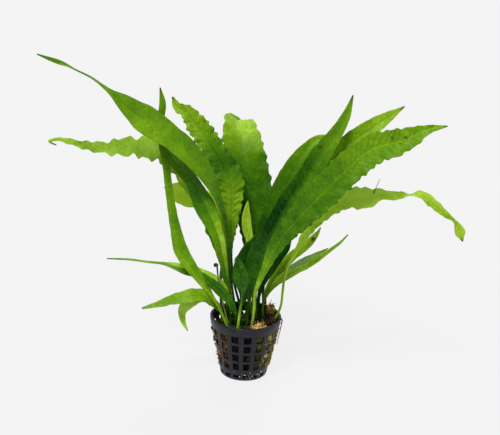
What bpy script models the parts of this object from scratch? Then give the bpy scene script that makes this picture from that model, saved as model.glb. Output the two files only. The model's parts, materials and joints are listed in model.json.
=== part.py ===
"""Potted java fern: a small net pot with a plug of mineral wool, three creeping rhizomes
on the wool, the fronds that rise from them, a young coiled frond, and litter on top.

Metres, +Z up. The origin is the centre of the pot's flat underside. The lengths below are
written in millimetres and turned into metres where the shapes are made.
"""
import math
from typing import NamedTuple

import bmesh
import bpy
from mathutils import Vector, noise

MM = 0.001

# Edges sharper than this stay sharp in the smooth shading
SHARP_ANGLE = math.radians(40)

# Points closer than this are welded, in metres
WELD = 0.00001

# Net pot
POT_HEIGHT = 47.0
RIM_RADIUS = 27.0
RIM_BAND_HEIGHT = 6.8
BAND_STEP = 0.7
RIM_ROUNDING = 0.3
FOOT_BEVEL = 0.7
BASE_RADIUS = 17.6
WALL = 1.1
FLOOR = 1.4
POT_STEPS = 32
COLUMNS = 16
FIRST_COLUMN = math.radians(5.5)
WINDOW_ANGLE = math.radians(13.2)
WINDOW_TOPS = (39.5, 31.5, 23.5, 15.5)
WINDOW_HEIGHT = 6.1
LOW_WINDOW_TOP = 5.0
LOW_WINDOW_HEIGHT = 2.8
FLOOR_SLOTS = 8
FLOOR_SLOT_INNER = 7.0
FLOOR_SLOT_OUTER = 14.5
FLOOR_SLOT_WIDTH = 2.4

# Gap between pieces that touch
GAP = 0.35

# Wool plug
WOOL_TOP = 38.0
WOOL_SIDES = 24
WOOL_LAYERS = 6
WOOL_ROUGHNESS = 1.0
WOOL_LUMP = 7.0

# Torn lumps of wool
TUFT_DENT = 0.35
TUFT_LUMPS = 1.7

# Rhizomes
RHIZOME_RADIUS = 2.5
RHIZOME_STEP = 3.2
RHIZOME_TAPER = (0.55, 0.9)
RHIZOME_WAIST = 0.9

# Fronds
STIPE_WIDTH = 2.4
STIPE_THICKNESS = 1.8
BLADE_THICKNESS = 1.3
TIP_THICKNESS = 0.5
TIP_THICKENING = 0.7
LEAST_WIDTH = 0.6
MIDRIB_HALF_WIDTH = 0.7
SECTION_STEP = 12.0
RUFFLED_STEP = 7.5
LEAST_SPANS = 5
RUFFLE_HEIGHT = 1.2
RUFFLE_WIDTH = 0.12
MARGIN_CORNERS = (0, 3)

# Young coiled frond
COIL_RADIUS = 1.7
COIL_THICKNESS = 1.5
COIL_SIDES = 16
YOUNG_STEM_RADIUS = 0.65
YOUNG_STEM_STEP = 6.0

# Root that hangs over the rim
ROOT_RADIUS = 0.45
ROOT_STEP = 2.5

COLOURS = {
    "plastic": ((0.028, 0.031, 0.045, 1.0), 0.38),
    "wool": ((0.20, 0.115, 0.03, 1.0), 0.95),
    "tan_wool": ((0.45, 0.30, 0.09, 1.0), 0.95),
    "rhizome": ((0.055, 0.075, 0.018, 1.0), 0.7),
    "deep": ((0.03, 0.15, 0.008, 1.0), 0.45),
    "fresh": ((0.09, 0.29, 0.012, 1.0), 0.45),
    "pale": ((0.16, 0.38, 0.03, 1.0), 0.45),
    "yellow": ((0.28, 0.38, 0.03, 1.0), 0.5),
    "coil": ((0.02, 0.022, 0.006, 1.0), 0.6),
    "litter": ((0.05, 0.018, 0.01, 1.0), 0.7),
    "root": ((0.03, 0.015, 0.008, 1.0), 0.8),
}


class Frond(NamedTuple):
    """A frond, as a route of points (x, y, z, leaf width, roll) from its foot to its tip.

    face is the way its upper side looks where the roll is 0, fold is how far in degrees
    each half of the blade rises from the midrib, and ruffle is 1 where the margins wave.
    """
    face: tuple
    fold: float
    ruffle: float
    colour: str
    route: list


FRONDS = {
    # High on the left
    "frond_long_left": Frond((0.1, -1, 0.5), 18, 0, "deep", [
        (-7, 2, 43.6, 2, 0), (-14, 4, 86, 2.2, 0), (-16, 4, 108, 3, 0), (-22, 0, 134, 4.5, 0),
        (-29, -2, 151, 9.5, 0), (-44, -6, 173, 16, 0), (-61, -7, 188, 17.5, 5), (-76, -9, 198, 20.5, 0),
        (-92, -13, 211, 13.5, -10), (-103, -16, 220, 7, -50), (-114, -19, 230, 6, -75),
        (-125, -21, 236, 5, -80), (-137, -24, 242, 4, -25), (-151, -28, 248, 0.8, 0)]),
    "frond_ruffled_left": Frond((0, -1, 0.2), 8, 1, "pale", [
        (-13, 1, 43.6, 2, 0), (-20, 5, 85, 2.4, 0), (-28, 8, 107, 5, 0), (-40, 12, 131, 6, 0),
        (-52, 14, 151, 9, 0), (-60, 15, 163, 13, 0), (-70, 15, 169, 14.5, 0), (-82, 14, 172, 15, 0),
        (-94, 13, 172, 13, 0), (-107, 12, 171, 9.5, 10), (-120, 11, 172, 7, 10), (-133, 9, 175, 4.5, 0),
        (-143, 8, 177, 2.5, 0), (-149, 8, 175, 2, 0), (-144, 9, 172, 0.8, 0)]),
    "frond_narrow_left": Frond((0.2, -1, 0.2), 15, 0, "fresh", [
        (-11, -17, 38.7, 2, 0), (-20, -20, 61, 2, 0), (-26, -20, 71, 3, 0), (-32, -18, 79, 6.5, 0),
        (-41, -14, 89, 8.5, 0), (-49, -11, 100, 10.5, 0), (-55, -6, 119, 7.5, 0), (-59, -1, 137, 6, 0),
        (-61, 2, 148, 5.5, 0), (-63, 4, 162, 5.5, 0), (-67, 8, 180, 5.5, 0), (-68, 10, 194, 5, 0),
        (-67, 11, 206, 5, 0), (-69, 12, 218, 0.8, 0)]),
    "frond_dark_left": Frond((0.3, -1, 0.1), 15, 0, "deep", [
        (-14, -3, 38.6, 2, 0), (-15, -1, 67, 2.4, 0), (-17, 0, 82, 5, 0), (-19.6, 0, 94, 7, 0),
        (-22.5, -2, 107.5, 9, 0), (-28, -0.5, 121, 12, 0), (-33, 2.5, 130, 15.5, 0), (-39, 4, 141, 13, 0),
        (-44, 4, 150.5, 10.5, 0), (-51, 5, 158.5, 9.5, 0), (-60, 4, 169, 8, 0), (-66, 4, 181, 4, 0),
        (-71, 2, 190, 0.8, 0)]),
    "frond_yellow_left": Frond((0.1, -1, 0.2), 10, 0, "yellow", [
        (-10, 10, 43.6, 2, 0), (-16, 16, 83, 2.4, 0), (-18, 20, 101, 6, 0), (-24, 23, 119, 12, 0),
        (-36, 26, 129, 15, 0), (-49, 27, 132.5, 18, 0), (-59, 28, 135, 12, 0), (-65, 28, 138, 3, 0)]),
    "frond_crinkled_left": Frond((0.1, -1, 0.1), 12, 1, "fresh", [
        (-3, 11, 43.8, 2, 0), (-11, 12, 73, 2.2, 0), (-14, 15, 96, 4, 0), (-14, 15, 114, 10, 0),
        (-14.5, 17, 131, 16, 0), (-16, 18, 147, 19.5, 0), (-21, 20, 158, 19.5, 0), (-27, 22, 167, 18, 0),
        (-34, 24, 177, 17, 0), (-42, 26, 187, 16, 0), (-51, 28, 197, 10, 0), (-57, 28, 200, 7, 0),
        (-61, 29, 207, 1.5, 0)]),
    # In the middle
    "frond_broad_middle": Frond((0, -1, 1), 20, 0, "fresh", [
        (1, 11, 43.9, 2, 0), (-4, 13, 62, 2.4, 0), (1, 20, 82, 8, 20), (4, 27, 102, 20, 25),
        (3, 32, 117, 27, 22), (1, 37, 132, 31, 12), (-4, 43, 148, 33, 4), (-8, 50, 163, 31, -2),
        (-11, 60, 174, 27, -10), (-13, 70, 179, 21, -15), (-13, 80, 177, 13, -18),
        (-12, 89, 169, 1.5, -18)]),
    "frond_behind_middle": Frond((0, -1, 0.2), 12, 0, "yellow", [
        (5, 15.5, 38.6, 2, 0), (2, 22, 62, 2.4, 0), (7, 36, 90, 9, 0), (9, 48, 115, 13, 0),
        (8, 56, 132, 14, 0), (2, 63, 148, 13, 0), (-6, 70, 160, 8, 0), (-11, 74, 168, 1, 0)]),
    "frond_small_middle": Frond((0.3, -1, 0.2), 15, 0, "yellow", [
        (3, 1, 43.6, 2, 0), (1, 4, 74, 2.4, 0), (1.4, 7, 92, 4, 0), (0.4, 11, 104, 6, 0),
        (-2, 13, 112, 7.5, 0), (-3, 15, 123, 6, 0), (-2, 17, 133, 0.8, 0)]),
    "frond_dark_middle": Frond((0.2, -1, 0.3), 15, 0, "deep", [
        (-3, -11, 43.6, 2, 0), (-4, -9.5, 58, 2.4, 0), (-2, -10, 66, 6, 0), (-1, -11, 74, 13, 0),
        (-1.3, -12, 82, 17.5, 0), (-1.3, -13, 90, 20, 0), (0, -13, 98, 19, 0), (1.7, -12.5, 106, 13, 0),
        (3.7, -12, 112, 6.6, 0), (5, -12, 117.5, 0.8, 0)]),
    "frond_short_front": Frond((0, -1, 0.3), 12, 0, "deep", [
        (-6, -18, 38.5, 2, 0), (-4.2, -21, 61, 1.8, 0), (-3, -23, 73, 2, 0), (-2.8, -25, 79, 5, 0),
        (-4, -27, 85, 11, 0), (-5.5, -27, 92, 11, 0), (-7, -25, 98, 7, 0), (-8, -22, 103, 0.8, 0)]),
    # On the right
    "frond_tall_right": Frond((-0.2, -1, 0.2), 15, 0, "fresh", [
        (1, -5, 38.6, 2, 0), (2, -14, 67, 3, 0), (4, -17, 82, 10, 0), (8, -18, 98, 18.5, 0),
        (12, -19, 111, 17.5, 0), (18.5, -19, 125, 16, 0), (28, -19, 145, 16, 0), (40, -17, 164, 16, 0),
        (49, -15, 181, 15, 0), (59, -13, 197, 10, 10), (65, -10, 209, 6.5, 0), (69, -9, 224, 0.8, 0)]),
    "frond_pale_right": Frond((-0.2, -1, 0.2), 12, 0, "pale", [
        (6, 11, 43.6, 2, 0), (5, 8, 68, 3, 0), (9, 9, 90, 10, 0), (13, 11, 111, 15, 0),
        (18, 13, 129, 16, 0), (25, 15, 146, 17, 0), (32, 18, 162, 14, 0), (40, 20, 175.5, 8, 0),
        (49, 23, 182.5, 4.5, 0), (60, 26, 182, 1, 0)]),
    "frond_bright_right": Frond((-0.2, -1, 0.2), 12, 0, "fresh", [
        (8, 0, 43.6, 2, 0), (7, -6, 74, 3, 0), (16, -9, 102, 9, 0), (27, -11, 130, 13, 0),
        (39, -10, 151, 14, 0), (52, -8, 169, 14.5, 0), (63, -6, 181, 15, 0), (76, -4, 193, 13.5, 0),
        (91, -2, 204, 10, 0), (107, 0, 215, 0.8, 0)]),
    "frond_broad_right": Frond((-0.1, -1, 0.3), 14, 1, "fresh", [
        (5, -12, 43.6, 2.2, 0), (6, -17, 60, 2.2, 0), (6, -20, 73, 2.6, 0), (9, -23, 85, 4, 0),
        (13, -26, 97, 6, 0), (18, -30, 112, 10, 0), (26, -33, 127, 14, 0), (35, -36, 140, 18, 0),
        (50, -38, 159, 22, 0), (63, -39, 175, 22.5, 0), (76, -38, 188, 22.5, 0), (86, -38, 195, 21, 0),
        (98, -36, 198, 19, 0), (110, -35, 203, 14, 0), (120, -34, 208, 7, 0), (134, -33, 211, 0.8, 0)]),
    "frond_drooping_right": Frond((-0.1, -1, 0.4), 10, 0, "pale", [
        (20.5, 2, 38.7, 2, 0), (26.3, -1, 57, 1.8, 0), (26.8, -3.5, 67, 1.8, 0), (27.6, -6, 81, 2, 0),
        (29.4, -8, 91, 2.2, 0), (32.6, -10, 99, 2.8, 0), (36, -12, 107.5, 3.4, 0), (39, -15, 116, 5, 0),
        (43.5, -18, 126, 8, 0), (52, -22, 139, 11, 0), (70, -24, 151.7, 14, 0), (80, -24, 152.8, 15.5, 0),
        (87, -24, 153.8, 12.5, 0), (92, -24, 156, 8, 0), (100, -23, 155, 6.5, 0), (107, -23, 155.5, 6, 20),
        (113, -23, 156, 5, 70), (121, -24, 157, 6, 20), (129, -24, 152, 7, 0), (139, -25, 144, 5, 0),
        (147, -24, 138, 2.6, 0), (151, -24, 131, 7.5, 0), (154, -24, 123, 1, 0)]),
    "frond_thin_right": Frond((-0.2, -1, 0.5), 12, 0, "fresh", [
        (13, 1, 43.3, 2, 0), (13, 4, 56, 1.8, 0), (17.5, 5, 66, 3, 0), (23, 6, 73.4, 6, 0),
        (30, 7, 78.2, 7, 0), (36, 8, 81.4, 5.6, 0), (42.5, 8.5, 84.7, 5, 0), (49, 9, 89, 4.7, 0),
        (56, 10, 94, 3.4, 0), (63, 11, 99.8, 2.6, 0), (68.5, 11.5, 104.5, 2, 0), (74, 12, 111, 0.8, 0)]),
    "frond_spotted_right": Frond((-0.3, -1, 0.3), 12, 0, "yellow", [
        (12, 10, 42.9, 2, 0), (13.4, 11, 57, 2.2, 0), (16, 12, 65, 3.8, 0), (21.4, 12.5, 74, 6.8, 0),
        (28, 13, 85, 7.6, 0), (34.5, 14, 92.3, 7.2, 0), (41, 14.5, 97.5, 6.4, 0), (45.8, 15, 102.5, 6, 0),
        (49, 15.5, 106.5, 5, 0), (51.7, 16, 110.5, 2.6, 0), (53.4, 16.5, 114.2, 0.8, 0)]),
    "frond_dark_inner_right": Frond((-0.3, -1, 0.1), 15, 0, "deep", [
        (9, 5.5, 38.4, 2, 0), (9, 5, 59, 2.4, 0), (12, 5, 72, 5, 0), (17.5, 5, 84, 7.5, 0),
        (23, 5, 95, 8.5, 0), (28, 6, 102, 7, 0), (31.5, 7, 108, 1, 0)]),
    # Low on the left
    "frond_low_left": Frond((0.2, -1, 0.8), 12, 0, "deep", [
        (-11.5, -5.5, 38.4, 2, 0), (-13, -6.5, 60, 2.2, 0), (-18, -6.2, 71, 6.5, 0),
        (-27, -5, 77, 9, 0), (-38, -2.5, 80.5, 9, 0), (-48, -0.5, 82.5, 8, 0), (-56, 1.5, 84, 5, 0),
        (-63, 3, 84.8, 2.6, 0), (-75, 4.5, 85, 1.8, 0), (-89, 6.5, 85.5, 1.7, 0),
        (-106.5, 8.5, 84.6, 0.8, 0)]),
    "frond_lobe_left": Frond((0.1, -1, 0.9), 12, 0, "fresh", [
        (-17, -9, 43.6, 2, 0), (-19, -12, 54, 2, 0), (-24.5, -17, 62, 4.5, 0), (-32, -21.5, 70.5, 9.5, 0),
        (-40, -25, 71.5, 10.5, 0), (-51, -27, 69.5, 8.5, 0), (-64, -30, 66, 5, 0), (-76, -32, 63, 1.4, 0)]),
    "frond_drop_left": Frond((0.6, -1, 0.6), 12, 0, "fresh", [
        (-18, 0, 43.6, 2, 0), (-19.5, -3.5, 54.5, 2, 0), (-25, -7.5, 61, 4.6, 0), (-31.5, -12, 66, 8, 0),
        (-39, -16, 66.5, 11, 0), (-44.3, -18.5, 62, 9.8, 0), (-47.5, -19, 55, 6.5, 0),
        (-46.5, -19.5, 48.5, 4.2, 0), (-42.7, -20, 41, 0.8, 0)]),
    "frond_front_left": Frond((0.3, -1, 0.4), 12, 0, "deep", [
        (-8, -11, 43.8, 2, 0), (-7, -15, 52, 2, 0), (-11, -17, 63, 5, 0), (-16, -18, 70, 7.5, 0),
        (-23, -18.6, 77, 7.5, 0), (-29, -19.6, 83, 5, 0), (-33, -19.4, 88, 0.8, 0)]),
    # Behind, leaning to the back
    "frond_back_left": Frond((0, -1, 1), 14, 0, "deep", [
        (-12, 14, 38.7, 2, 0), (-14.5, 30, 75, 2.4, 0), (-15, 37, 91, 3.4, 0), (-14, 44, 105, 9, 0),
        (-14, 52, 119, 12, 0), (-16, 60, 131, 11, 0), (-20, 67, 140, 6, 0), (-23, 71, 144, 0.8, 0)]),
    "frond_back_middle_left": Frond((0, -1, 1), 14, 0, "deep", [
        (-6, 16, 38.7, 2, 0), (-1, 30, 73, 3, 0), (2, 42, 92, 9, 0), (2, 52, 112, 13, 0),
        (-1, 62, 128, 13, 0), (-5, 70, 141, 9, 0), (-8, 77, 150, 0.8, 0)]),
    "frond_back_middle": Frond((0, -1, 1.5), 14, 0, "deep", [
        (0, 17, 38.8, 2, 0), (6, 33, 69, 4, 0), (10, 50, 86, 10, 0), (11, 66, 99, 14, 0),
        (11, 78, 108, 12, 0), (10, 89, 114, 8, 0), (9, 96, 118, 0.8, 0)]),
    "frond_back_right": Frond((-0.3, -1, 1), 14, 0, "deep", [
        (9, 15.5, 38.7, 2, 0), (12, 30, 74, 3, 0), (18, 42, 93, 9, 0), (25, 52, 110, 13, 0),
        (32, 61, 125, 14, 0), (40, 69, 136, 10, 0), (48, 76, 146, 0.8, 0)]),
    "frond_back_far_right": Frond((-0.5, -1, 1), 14, 0, "deep", [
        (13.5, 16, 38.6, 2, 0), (14, 26, 70, 3, 0), (23, 35, 87, 7, 0), (37, 46, 105, 11, 0),
        (51, 57, 119, 13, 0), (65, 66, 132, 10, 0), (77, 75, 142, 0.8, 0)]),
    "frond_back_low_right": Frond((-0.5, -1, 1.5), 12, 0, "deep", [
        (15.5, 6, 39, 2, 0), (16.4, 23.6, 61, 2.4, 0), (28, 37, 66, 6, 0), (40, 52, 69, 7.5, 0),
        (52, 66, 71, 6, 0), (64, 78, 74, 0.8, 0)]),
    "frond_back_low_left": Frond((0.4, -1, 1.2), 12, 0, "deep", [
        (-18, 6, 38.8, 2, 0), (-20.5, 22, 65, 2.4, 0), (-19, 37, 78, 6, 0), (-24, 52, 89, 9, 0),
        (-31, 66, 97, 10, 0), (-38, 77, 102, 8, 0), (-44, 84, 108, 0.8, 0)]),
}

# The rhizomes lie on the wool: (x, y) points from the old end to the growing tip.
RHIZOMES = {
    "rhizome_front": [(-20, -8), (-14, -10), (-8, -11.4), (-2, -11.2), (4, -12), (9, -12)],
    "rhizome_middle": [(-20, -1), (-13, 1), (-6, 2), (1, 1.4), (8, 0), (15, 1)],
    "rhizome_back": [(-14, 9), (-9, 10.4), (-3, 11.2), (3, 11.2), (9, 10.6), (12.5, 9.8)],
}

YOUNG_FROND = [
    (-13, -10, 43.8), (-18, -10, 63), (-20.4, -10, 73.4), (-22, -10, 82.8), (-22.8, -10, 90.5)]
ROOT = [(21.8, -3, 38.8), (23, -5, 43), (24.2, -6.6, 48.4), (27.2, -7.4, 47.6), (27.1, -7.5, 44),
        (26.5, -7.4, 39), (25.4, -7.2, 33), (24.6, -7.6, 27)]
DEAD_LEAF = Frond((0.2, -0.5, 1), 24, 0, "litter", [
    (10, -5.5, 39.2, 2, 0), (13.5, -5.5, 41.6, 7, 0), (17.5, -6, 44.4, 8, 0), (20.5, -7.5, 46.2, 5.5, 0),
    (22.8, -8.9, 46.8, 1, 0)])
TUFTS = {
    "wool_tuft_front": ((11, -16.2, 41.3), (4.6, 3.5, 3.2)),
    "wool_tuft_back": ((19, 10.9, 43.85), (2.7, 2.8, 5.6)),
}


def make_material(name, colour):
    """The Principled material of one object, with its colour and roughness."""
    material = bpy.data.materials.new(name)
    material.use_nodes = True
    shader = material.node_tree.nodes["Principled BSDF"]
    base_color, roughness = COLOURS[colour]
    shader.inputs["Base Color"].default_value = base_color
    shader.inputs["Roughness"].default_value = roughness
    shader.inputs["Metallic"].default_value = 0.0
    return material


def add_object(name, mesh, collection, colour=None):
    """Wrap a mesh in an object of the collection, with a material unless it is a cutter."""
    obj = bpy.data.objects.new(name, mesh)
    collection.objects.link(obj)
    if colour:
        mesh.materials.append(make_material(name, colour))
    return obj


def mesh_from(name, bm):
    """A smooth-shaded mesh from a bmesh, with its faces turned outward."""
    bmesh.ops.recalc_face_normals(bm, faces=bm.faces)
    mesh = bpy.data.meshes.new(name)
    bm.to_mesh(mesh)
    bm.free()
    shade(mesh)
    return mesh


def shade(mesh):
    """Smooth shading that keeps the sharp edges."""
    mesh.shade_smooth()
    mesh.set_sharp_from_angle(angle=SHARP_ANGLE)


def evaluated_mesh(obj):
    """The mesh of a curve, or of an object with its modifiers, as Blender evaluates it."""
    bpy.context.view_layer.update()
    depsgraph = bpy.context.evaluated_depsgraph_get()
    return bpy.data.meshes.new_from_object(obj.evaluated_get(depsgraph))


def apply_modifiers(obj):
    """Give the object the mesh that its modifiers make."""
    mesh = evaluated_mesh(obj)
    obj.modifiers.clear()
    obj.data = mesh
    shade(mesh)


def add_boolean(obj, other, operation):
    """Cut the object by another, or join the other to it, and keep the other as a guide."""
    other.hide_render = True
    other.display_type = "WIRE"
    boolean = obj.modifiers.new(other.name, "BOOLEAN")
    boolean.operation = operation
    boolean.object = other


def wall_radius(height):
    """Outer radius of the pot's wall at a height, below the rim band."""
    top = POT_HEIGHT - RIM_BAND_HEIGHT
    return BASE_RADIUS + (RIM_RADIUS - 2 * BAND_STEP - BASE_RADIUS) * height / top


def make_pot(parts, cutters):
    """The net pot: a turned cup with rows of windows and slots in its floor.

    It is turned from the middle of a column, so every window meets the facets in the same way.
    """
    band = POT_HEIGHT - RIM_BAND_HEIGHT
    inner = RIM_RADIUS - BAND_STEP - WALL
    profile = [
        (0, FLOOR), (wall_radius(FLOOR) - WALL, FLOOR), (wall_radius(band) - WALL, band),
        (inner, POT_HEIGHT - RIM_ROUNDING), (inner + RIM_ROUNDING, POT_HEIGHT),
        (RIM_RADIUS - RIM_ROUNDING, POT_HEIGHT), (RIM_RADIUS, POT_HEIGHT - RIM_ROUNDING),
        (RIM_RADIUS - BAND_STEP, band + BAND_STEP), (wall_radius(band), band),
        (wall_radius(FOOT_BEVEL), FOOT_BEVEL), (BASE_RADIUS - FOOT_BEVEL, 0), (0, 0)]
    mesh = bpy.data.meshes.new("net_pot")
    start = Vector((math.sin(FIRST_COLUMN), -math.cos(FIRST_COLUMN), 0))
    points = [(start * radius + Vector((0, 0, height))) * MM for radius, height in profile]
    mesh.from_pydata(points, [(i, i + 1) for i in range(len(points) - 1)], [])
    pot = add_object("net_pot", mesh, parts, "plastic")
    screw = pot.modifiers.new("turn", "SCREW")
    screw.steps = POT_STEPS
    screw.render_steps = POT_STEPS
    screw.use_merge_vertices = True
    screw.merge_threshold = WELD
    add_boolean(pot, make_pot_holes(cutters), "DIFFERENCE")
    apply_modifiers(pot)


def make_pot_holes(cutters):
    """One cutter with every window and floor slot of the pot, as separate boxes."""
    bm = bmesh.new()
    rows = [(top, WINDOW_HEIGHT) for top in WINDOW_TOPS]
    rows.append((LOW_WINDOW_TOP, LOW_WINDOW_HEIGHT))
    for top, height in rows:
        middle = top - height / 2
        radius = wall_radius(middle) - WALL / 2
        width = 2 * radius * math.tan(WINDOW_ANGLE / 2)
        for column in range(COLUMNS):
            angle = FIRST_COLUMN + column * math.tau / COLUMNS
            add_radial_box(bm, angle, radius, middle, (width, 4 * WALL, height))
    length = FLOOR_SLOT_OUTER - FLOOR_SLOT_INNER
    for slot in range(FLOOR_SLOTS):
        angle = FIRST_COLUMN + slot * math.tau / FLOOR_SLOTS
        radius = (FLOOR_SLOT_INNER + FLOOR_SLOT_OUTER) / 2
        add_radial_box(bm, angle, radius, FLOOR / 2, (FLOOR_SLOT_WIDTH, length, 2 * FLOOR))
    return add_object("pot_holes", mesh_from("pot_holes", bm), cutters)


def add_radial_box(bm, angle, radius, height, size):
    """A box that faces out from the pot's axis, at an angle from the front toward +X."""
    outward = Vector((math.sin(angle), -math.cos(angle), 0))
    across = Vector((math.cos(angle), math.sin(angle), 0))
    centre = outward * radius + Vector((0, 0, height))
    for vert in bmesh.ops.create_cube(bm, size=1)["verts"]:
        x, y, z = vert.co
        place = centre + across * (x * size[0]) - outward * (y * size[1]) + Vector((0, 0, z * size[2]))
        vert.co = place * MM


def make_wool(parts):
    """The plug of mineral wool, a lumpy cone that fills the pot to below its rim."""
    bottom = FLOOR + GAP
    room = WALL + GAP
    bm = bmesh.new()
    bmesh.ops.create_cone(
        bm, cap_ends=True, segments=WOOL_SIDES, depth=WOOL_TOP - bottom,
        radius1=wall_radius(bottom) - room, radius2=wall_radius(WOOL_TOP) - room)
    for vert in bm.verts:
        vert.co.z += (WOOL_TOP + bottom) / 2
    for layer in range(1, WOOL_LAYERS):
        height = bottom + (WOOL_TOP - bottom) * layer / WOOL_LAYERS
        geometry = bm.verts[:] + bm.edges[:] + bm.faces[:]
        bmesh.ops.bisect_plane(bm, geom=geometry, plane_co=(0, 0, height), plane_no=(0, 0, 1))
    for vert in bm.verts:
        lump = abs(noise.noise(vert.co / WOOL_LUMP)) * WOOL_ROUGHNESS
        radius = math.hypot(vert.co.x, vert.co.y)
        vert.co.x *= 1 - lump / radius
        vert.co.y *= 1 - lump / radius
    for vert in bm.verts:
        vert.co *= MM
    add_object("wool_plug", mesh_from("wool_plug", bm), parts, "wool")


def make_tuft(name, centre, size, parts):
    """A torn lump of wool."""
    bm = bmesh.new()
    bmesh.ops.create_icosphere(bm, subdivisions=2, radius=1)
    for vert in bm.verts:
        dent = 1 - TUFT_DENT * abs(noise.noise(vert.co * TUFT_LUMPS + Vector(centre)))
        place = [middle + half * share * dent for middle, half, share in zip(centre, size, vert.co)]
        vert.co = Vector(place) * MM
    add_object(name, mesh_from(name, bm), parts, "tan_wool")


class RoutePoint(NamedTuple):
    """A point of a route: its place, and a row of every value that is smoothed with it."""
    position: Vector
    row: Vector


def slopes(points):
    """The gaps between a route's points, and its slope at each point."""
    gaps = [(b.position - a.position).length for a, b in zip(points, points[1:])]
    chords = [(b.row - a.row) / gap for a, b, gap in zip(points, points[1:], gaps)]
    inner = [
        (chords[i] * gaps[i + 1] + chords[i + 1] * gaps[i]) / (gaps[i] + gaps[i + 1])
        for i in range(len(chords) - 1)]
    return gaps, [chords[0]] + inner + [chords[-1]]


def smooth_route(route, step):
    """Rows read at even steps from one smooth curve through the route's own points."""
    points = [RoutePoint(Vector(row[:3]), Vector(row)) for row in route]
    gaps, tangents = slopes(points)
    length = sum(gaps)
    count = max(LEAST_SPANS, math.ceil(length / step))
    rows = []
    for number in range(count + 1):
        along = length * number / count
        span = 0
        while span < len(gaps) - 1 and along > gaps[span]:
            along -= gaps[span]
            span += 1
        t = min(along / gaps[span], 1)
        start, end = points[span].row, points[span + 1].row
        rows.append(
            start * (2 * t**3 - 3 * t**2 + 1) + end * (3 * t**2 - 2 * t**3)
            + tangents[span] * (gaps[span] * (t**3 - 2 * t**2 + t))
            + tangents[span + 1] * (gaps[span] * (t**3 - t**2)))
    return rows


def frond_section(row, along, face, fold, wave):
    """The six corners of a frond's section: two margins and the midrib's four corners."""
    middle = Vector(row[:3])
    half = max(row[3], LEAST_WIDTH) / 2
    roll = math.radians(row[4])
    up = (face - along * face.dot(along)).normalized()
    side = along.cross(up)
    across = side * math.cos(roll) + up * math.sin(roll)
    upward = up * math.cos(roll) - side * math.sin(roll)
    blade = min(max((row[3] - STIPE_WIDTH) / STIPE_WIDTH, 0), 1)
    thick = STIPE_THICKNESS + (BLADE_THICKNESS - STIPE_THICKNESS) * blade
    thick = min(thick, TIP_THICKNESS + TIP_THICKENING * row[3]) / 2
    rib = min(MIDRIB_HALF_WIDTH, half / 2)
    lift = half * math.tan(math.radians(fold)) * blade
    wide = half * (1 + RUFFLE_WIDTH * wave * blade)
    left = lift + RUFFLE_HEIGHT * wave * blade
    right = lift - RUFFLE_HEIGHT * wave * blade
    corners = [(-wide, left), (-rib, -thick), (rib, -thick), (wide, right), (rib, thick), (-rib, thick)]
    return [middle + across * u + upward * v for u, v in corners]


def add_panel(bm, ring, after, i):
    """Two triangles between two sections, parted along a line from a margin.

    The panels above and below a margin are parted the same way, so they never cross.
    """
    j = (i + 1) % len(ring)
    if i in MARGIN_CORNERS:
        bm.faces.new((ring[i], ring[j], after[j]))
        bm.faces.new((ring[i], after[j], after[i]))
    else:
        bm.faces.new((ring[j], after[j], after[i]))
        bm.faces.new((ring[j], after[i], ring[i]))


def make_frond(name, frond, parts):
    """A frond lofted through sections of unlike width, from its narrow stipe to its blade's tip."""
    step = RUFFLED_STEP if frond.ruffle else SECTION_STEP
    rows = smooth_route(frond.route, step)
    places = [Vector(row[:3]) for row in rows]
    face = Vector(frond.face)
    bm = bmesh.new()
    rings = []
    for number, row in enumerate(rows):
        before = places[max(number - 1, 0)]
        after = places[min(number + 1, len(places) - 1)]
        wave = frond.ruffle * (1 if number % 2 else -1)
        corners = frond_section(row, (after - before).normalized(), face, frond.fold, wave)
        rings.append([bm.verts.new(corner * MM) for corner in corners])
    for ring, after in zip(rings, rings[1:]):
        for i in range(len(ring)):
            add_panel(bm, ring, after, i)
    bm.faces.new(rings[0])
    bm.faces.new(rings[-1])
    add_object(name, mesh_from(name, bm), parts, frond.colour)


def make_tube(name, places, radii, parts, colour):
    """A closed tube along the places, as a mesh, with a radius at each place, in metres."""
    curve = bpy.data.curves.new(name, "CURVE")
    curve.dimensions = "3D"
    curve.bevel_depth = 1.0
    curve.bevel_resolution = 2
    curve.use_fill_caps = True
    spline = curve.splines.new("POLY")
    spline.points.add(len(places) - 1)
    for point, place, radius in zip(spline.points, places, radii):
        point.co = (*place, 1)
        point.radius = radius
    guide = bpy.data.objects.new(name + "_guide", curve)
    parts.objects.link(guide)
    mesh = evaluated_mesh(guide)
    bpy.data.objects.remove(guide)
    bm = bmesh.new()
    bm.from_mesh(mesh)
    bmesh.ops.remove_doubles(bm, verts=bm.verts, dist=WELD)
    return add_object(name, mesh_from(name, bm), parts, colour)


def make_rhizome(name, route, parts):
    """A creeping rhizome, knobbly and tapered to both ends, lying on the wool."""
    height = WOOL_TOP + GAP + RHIZOME_RADIUS
    rows = smooth_route([(x, y, height) for x, y in route], RHIZOME_STEP)
    last = len(rows) - 1
    places = [Vector(row) * MM for row in rows]
    radii = []
    for number in range(last + 1):
        end = min(number, last - number)
        taper = RHIZOME_TAPER[end] if end < len(RHIZOME_TAPER) else 1
        knob = 1 if number % 2 else RHIZOME_WAIST
        radii.append(RHIZOME_RADIUS * taper * knob * MM)
    make_tube(name, places, radii, parts, "rhizome")


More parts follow.
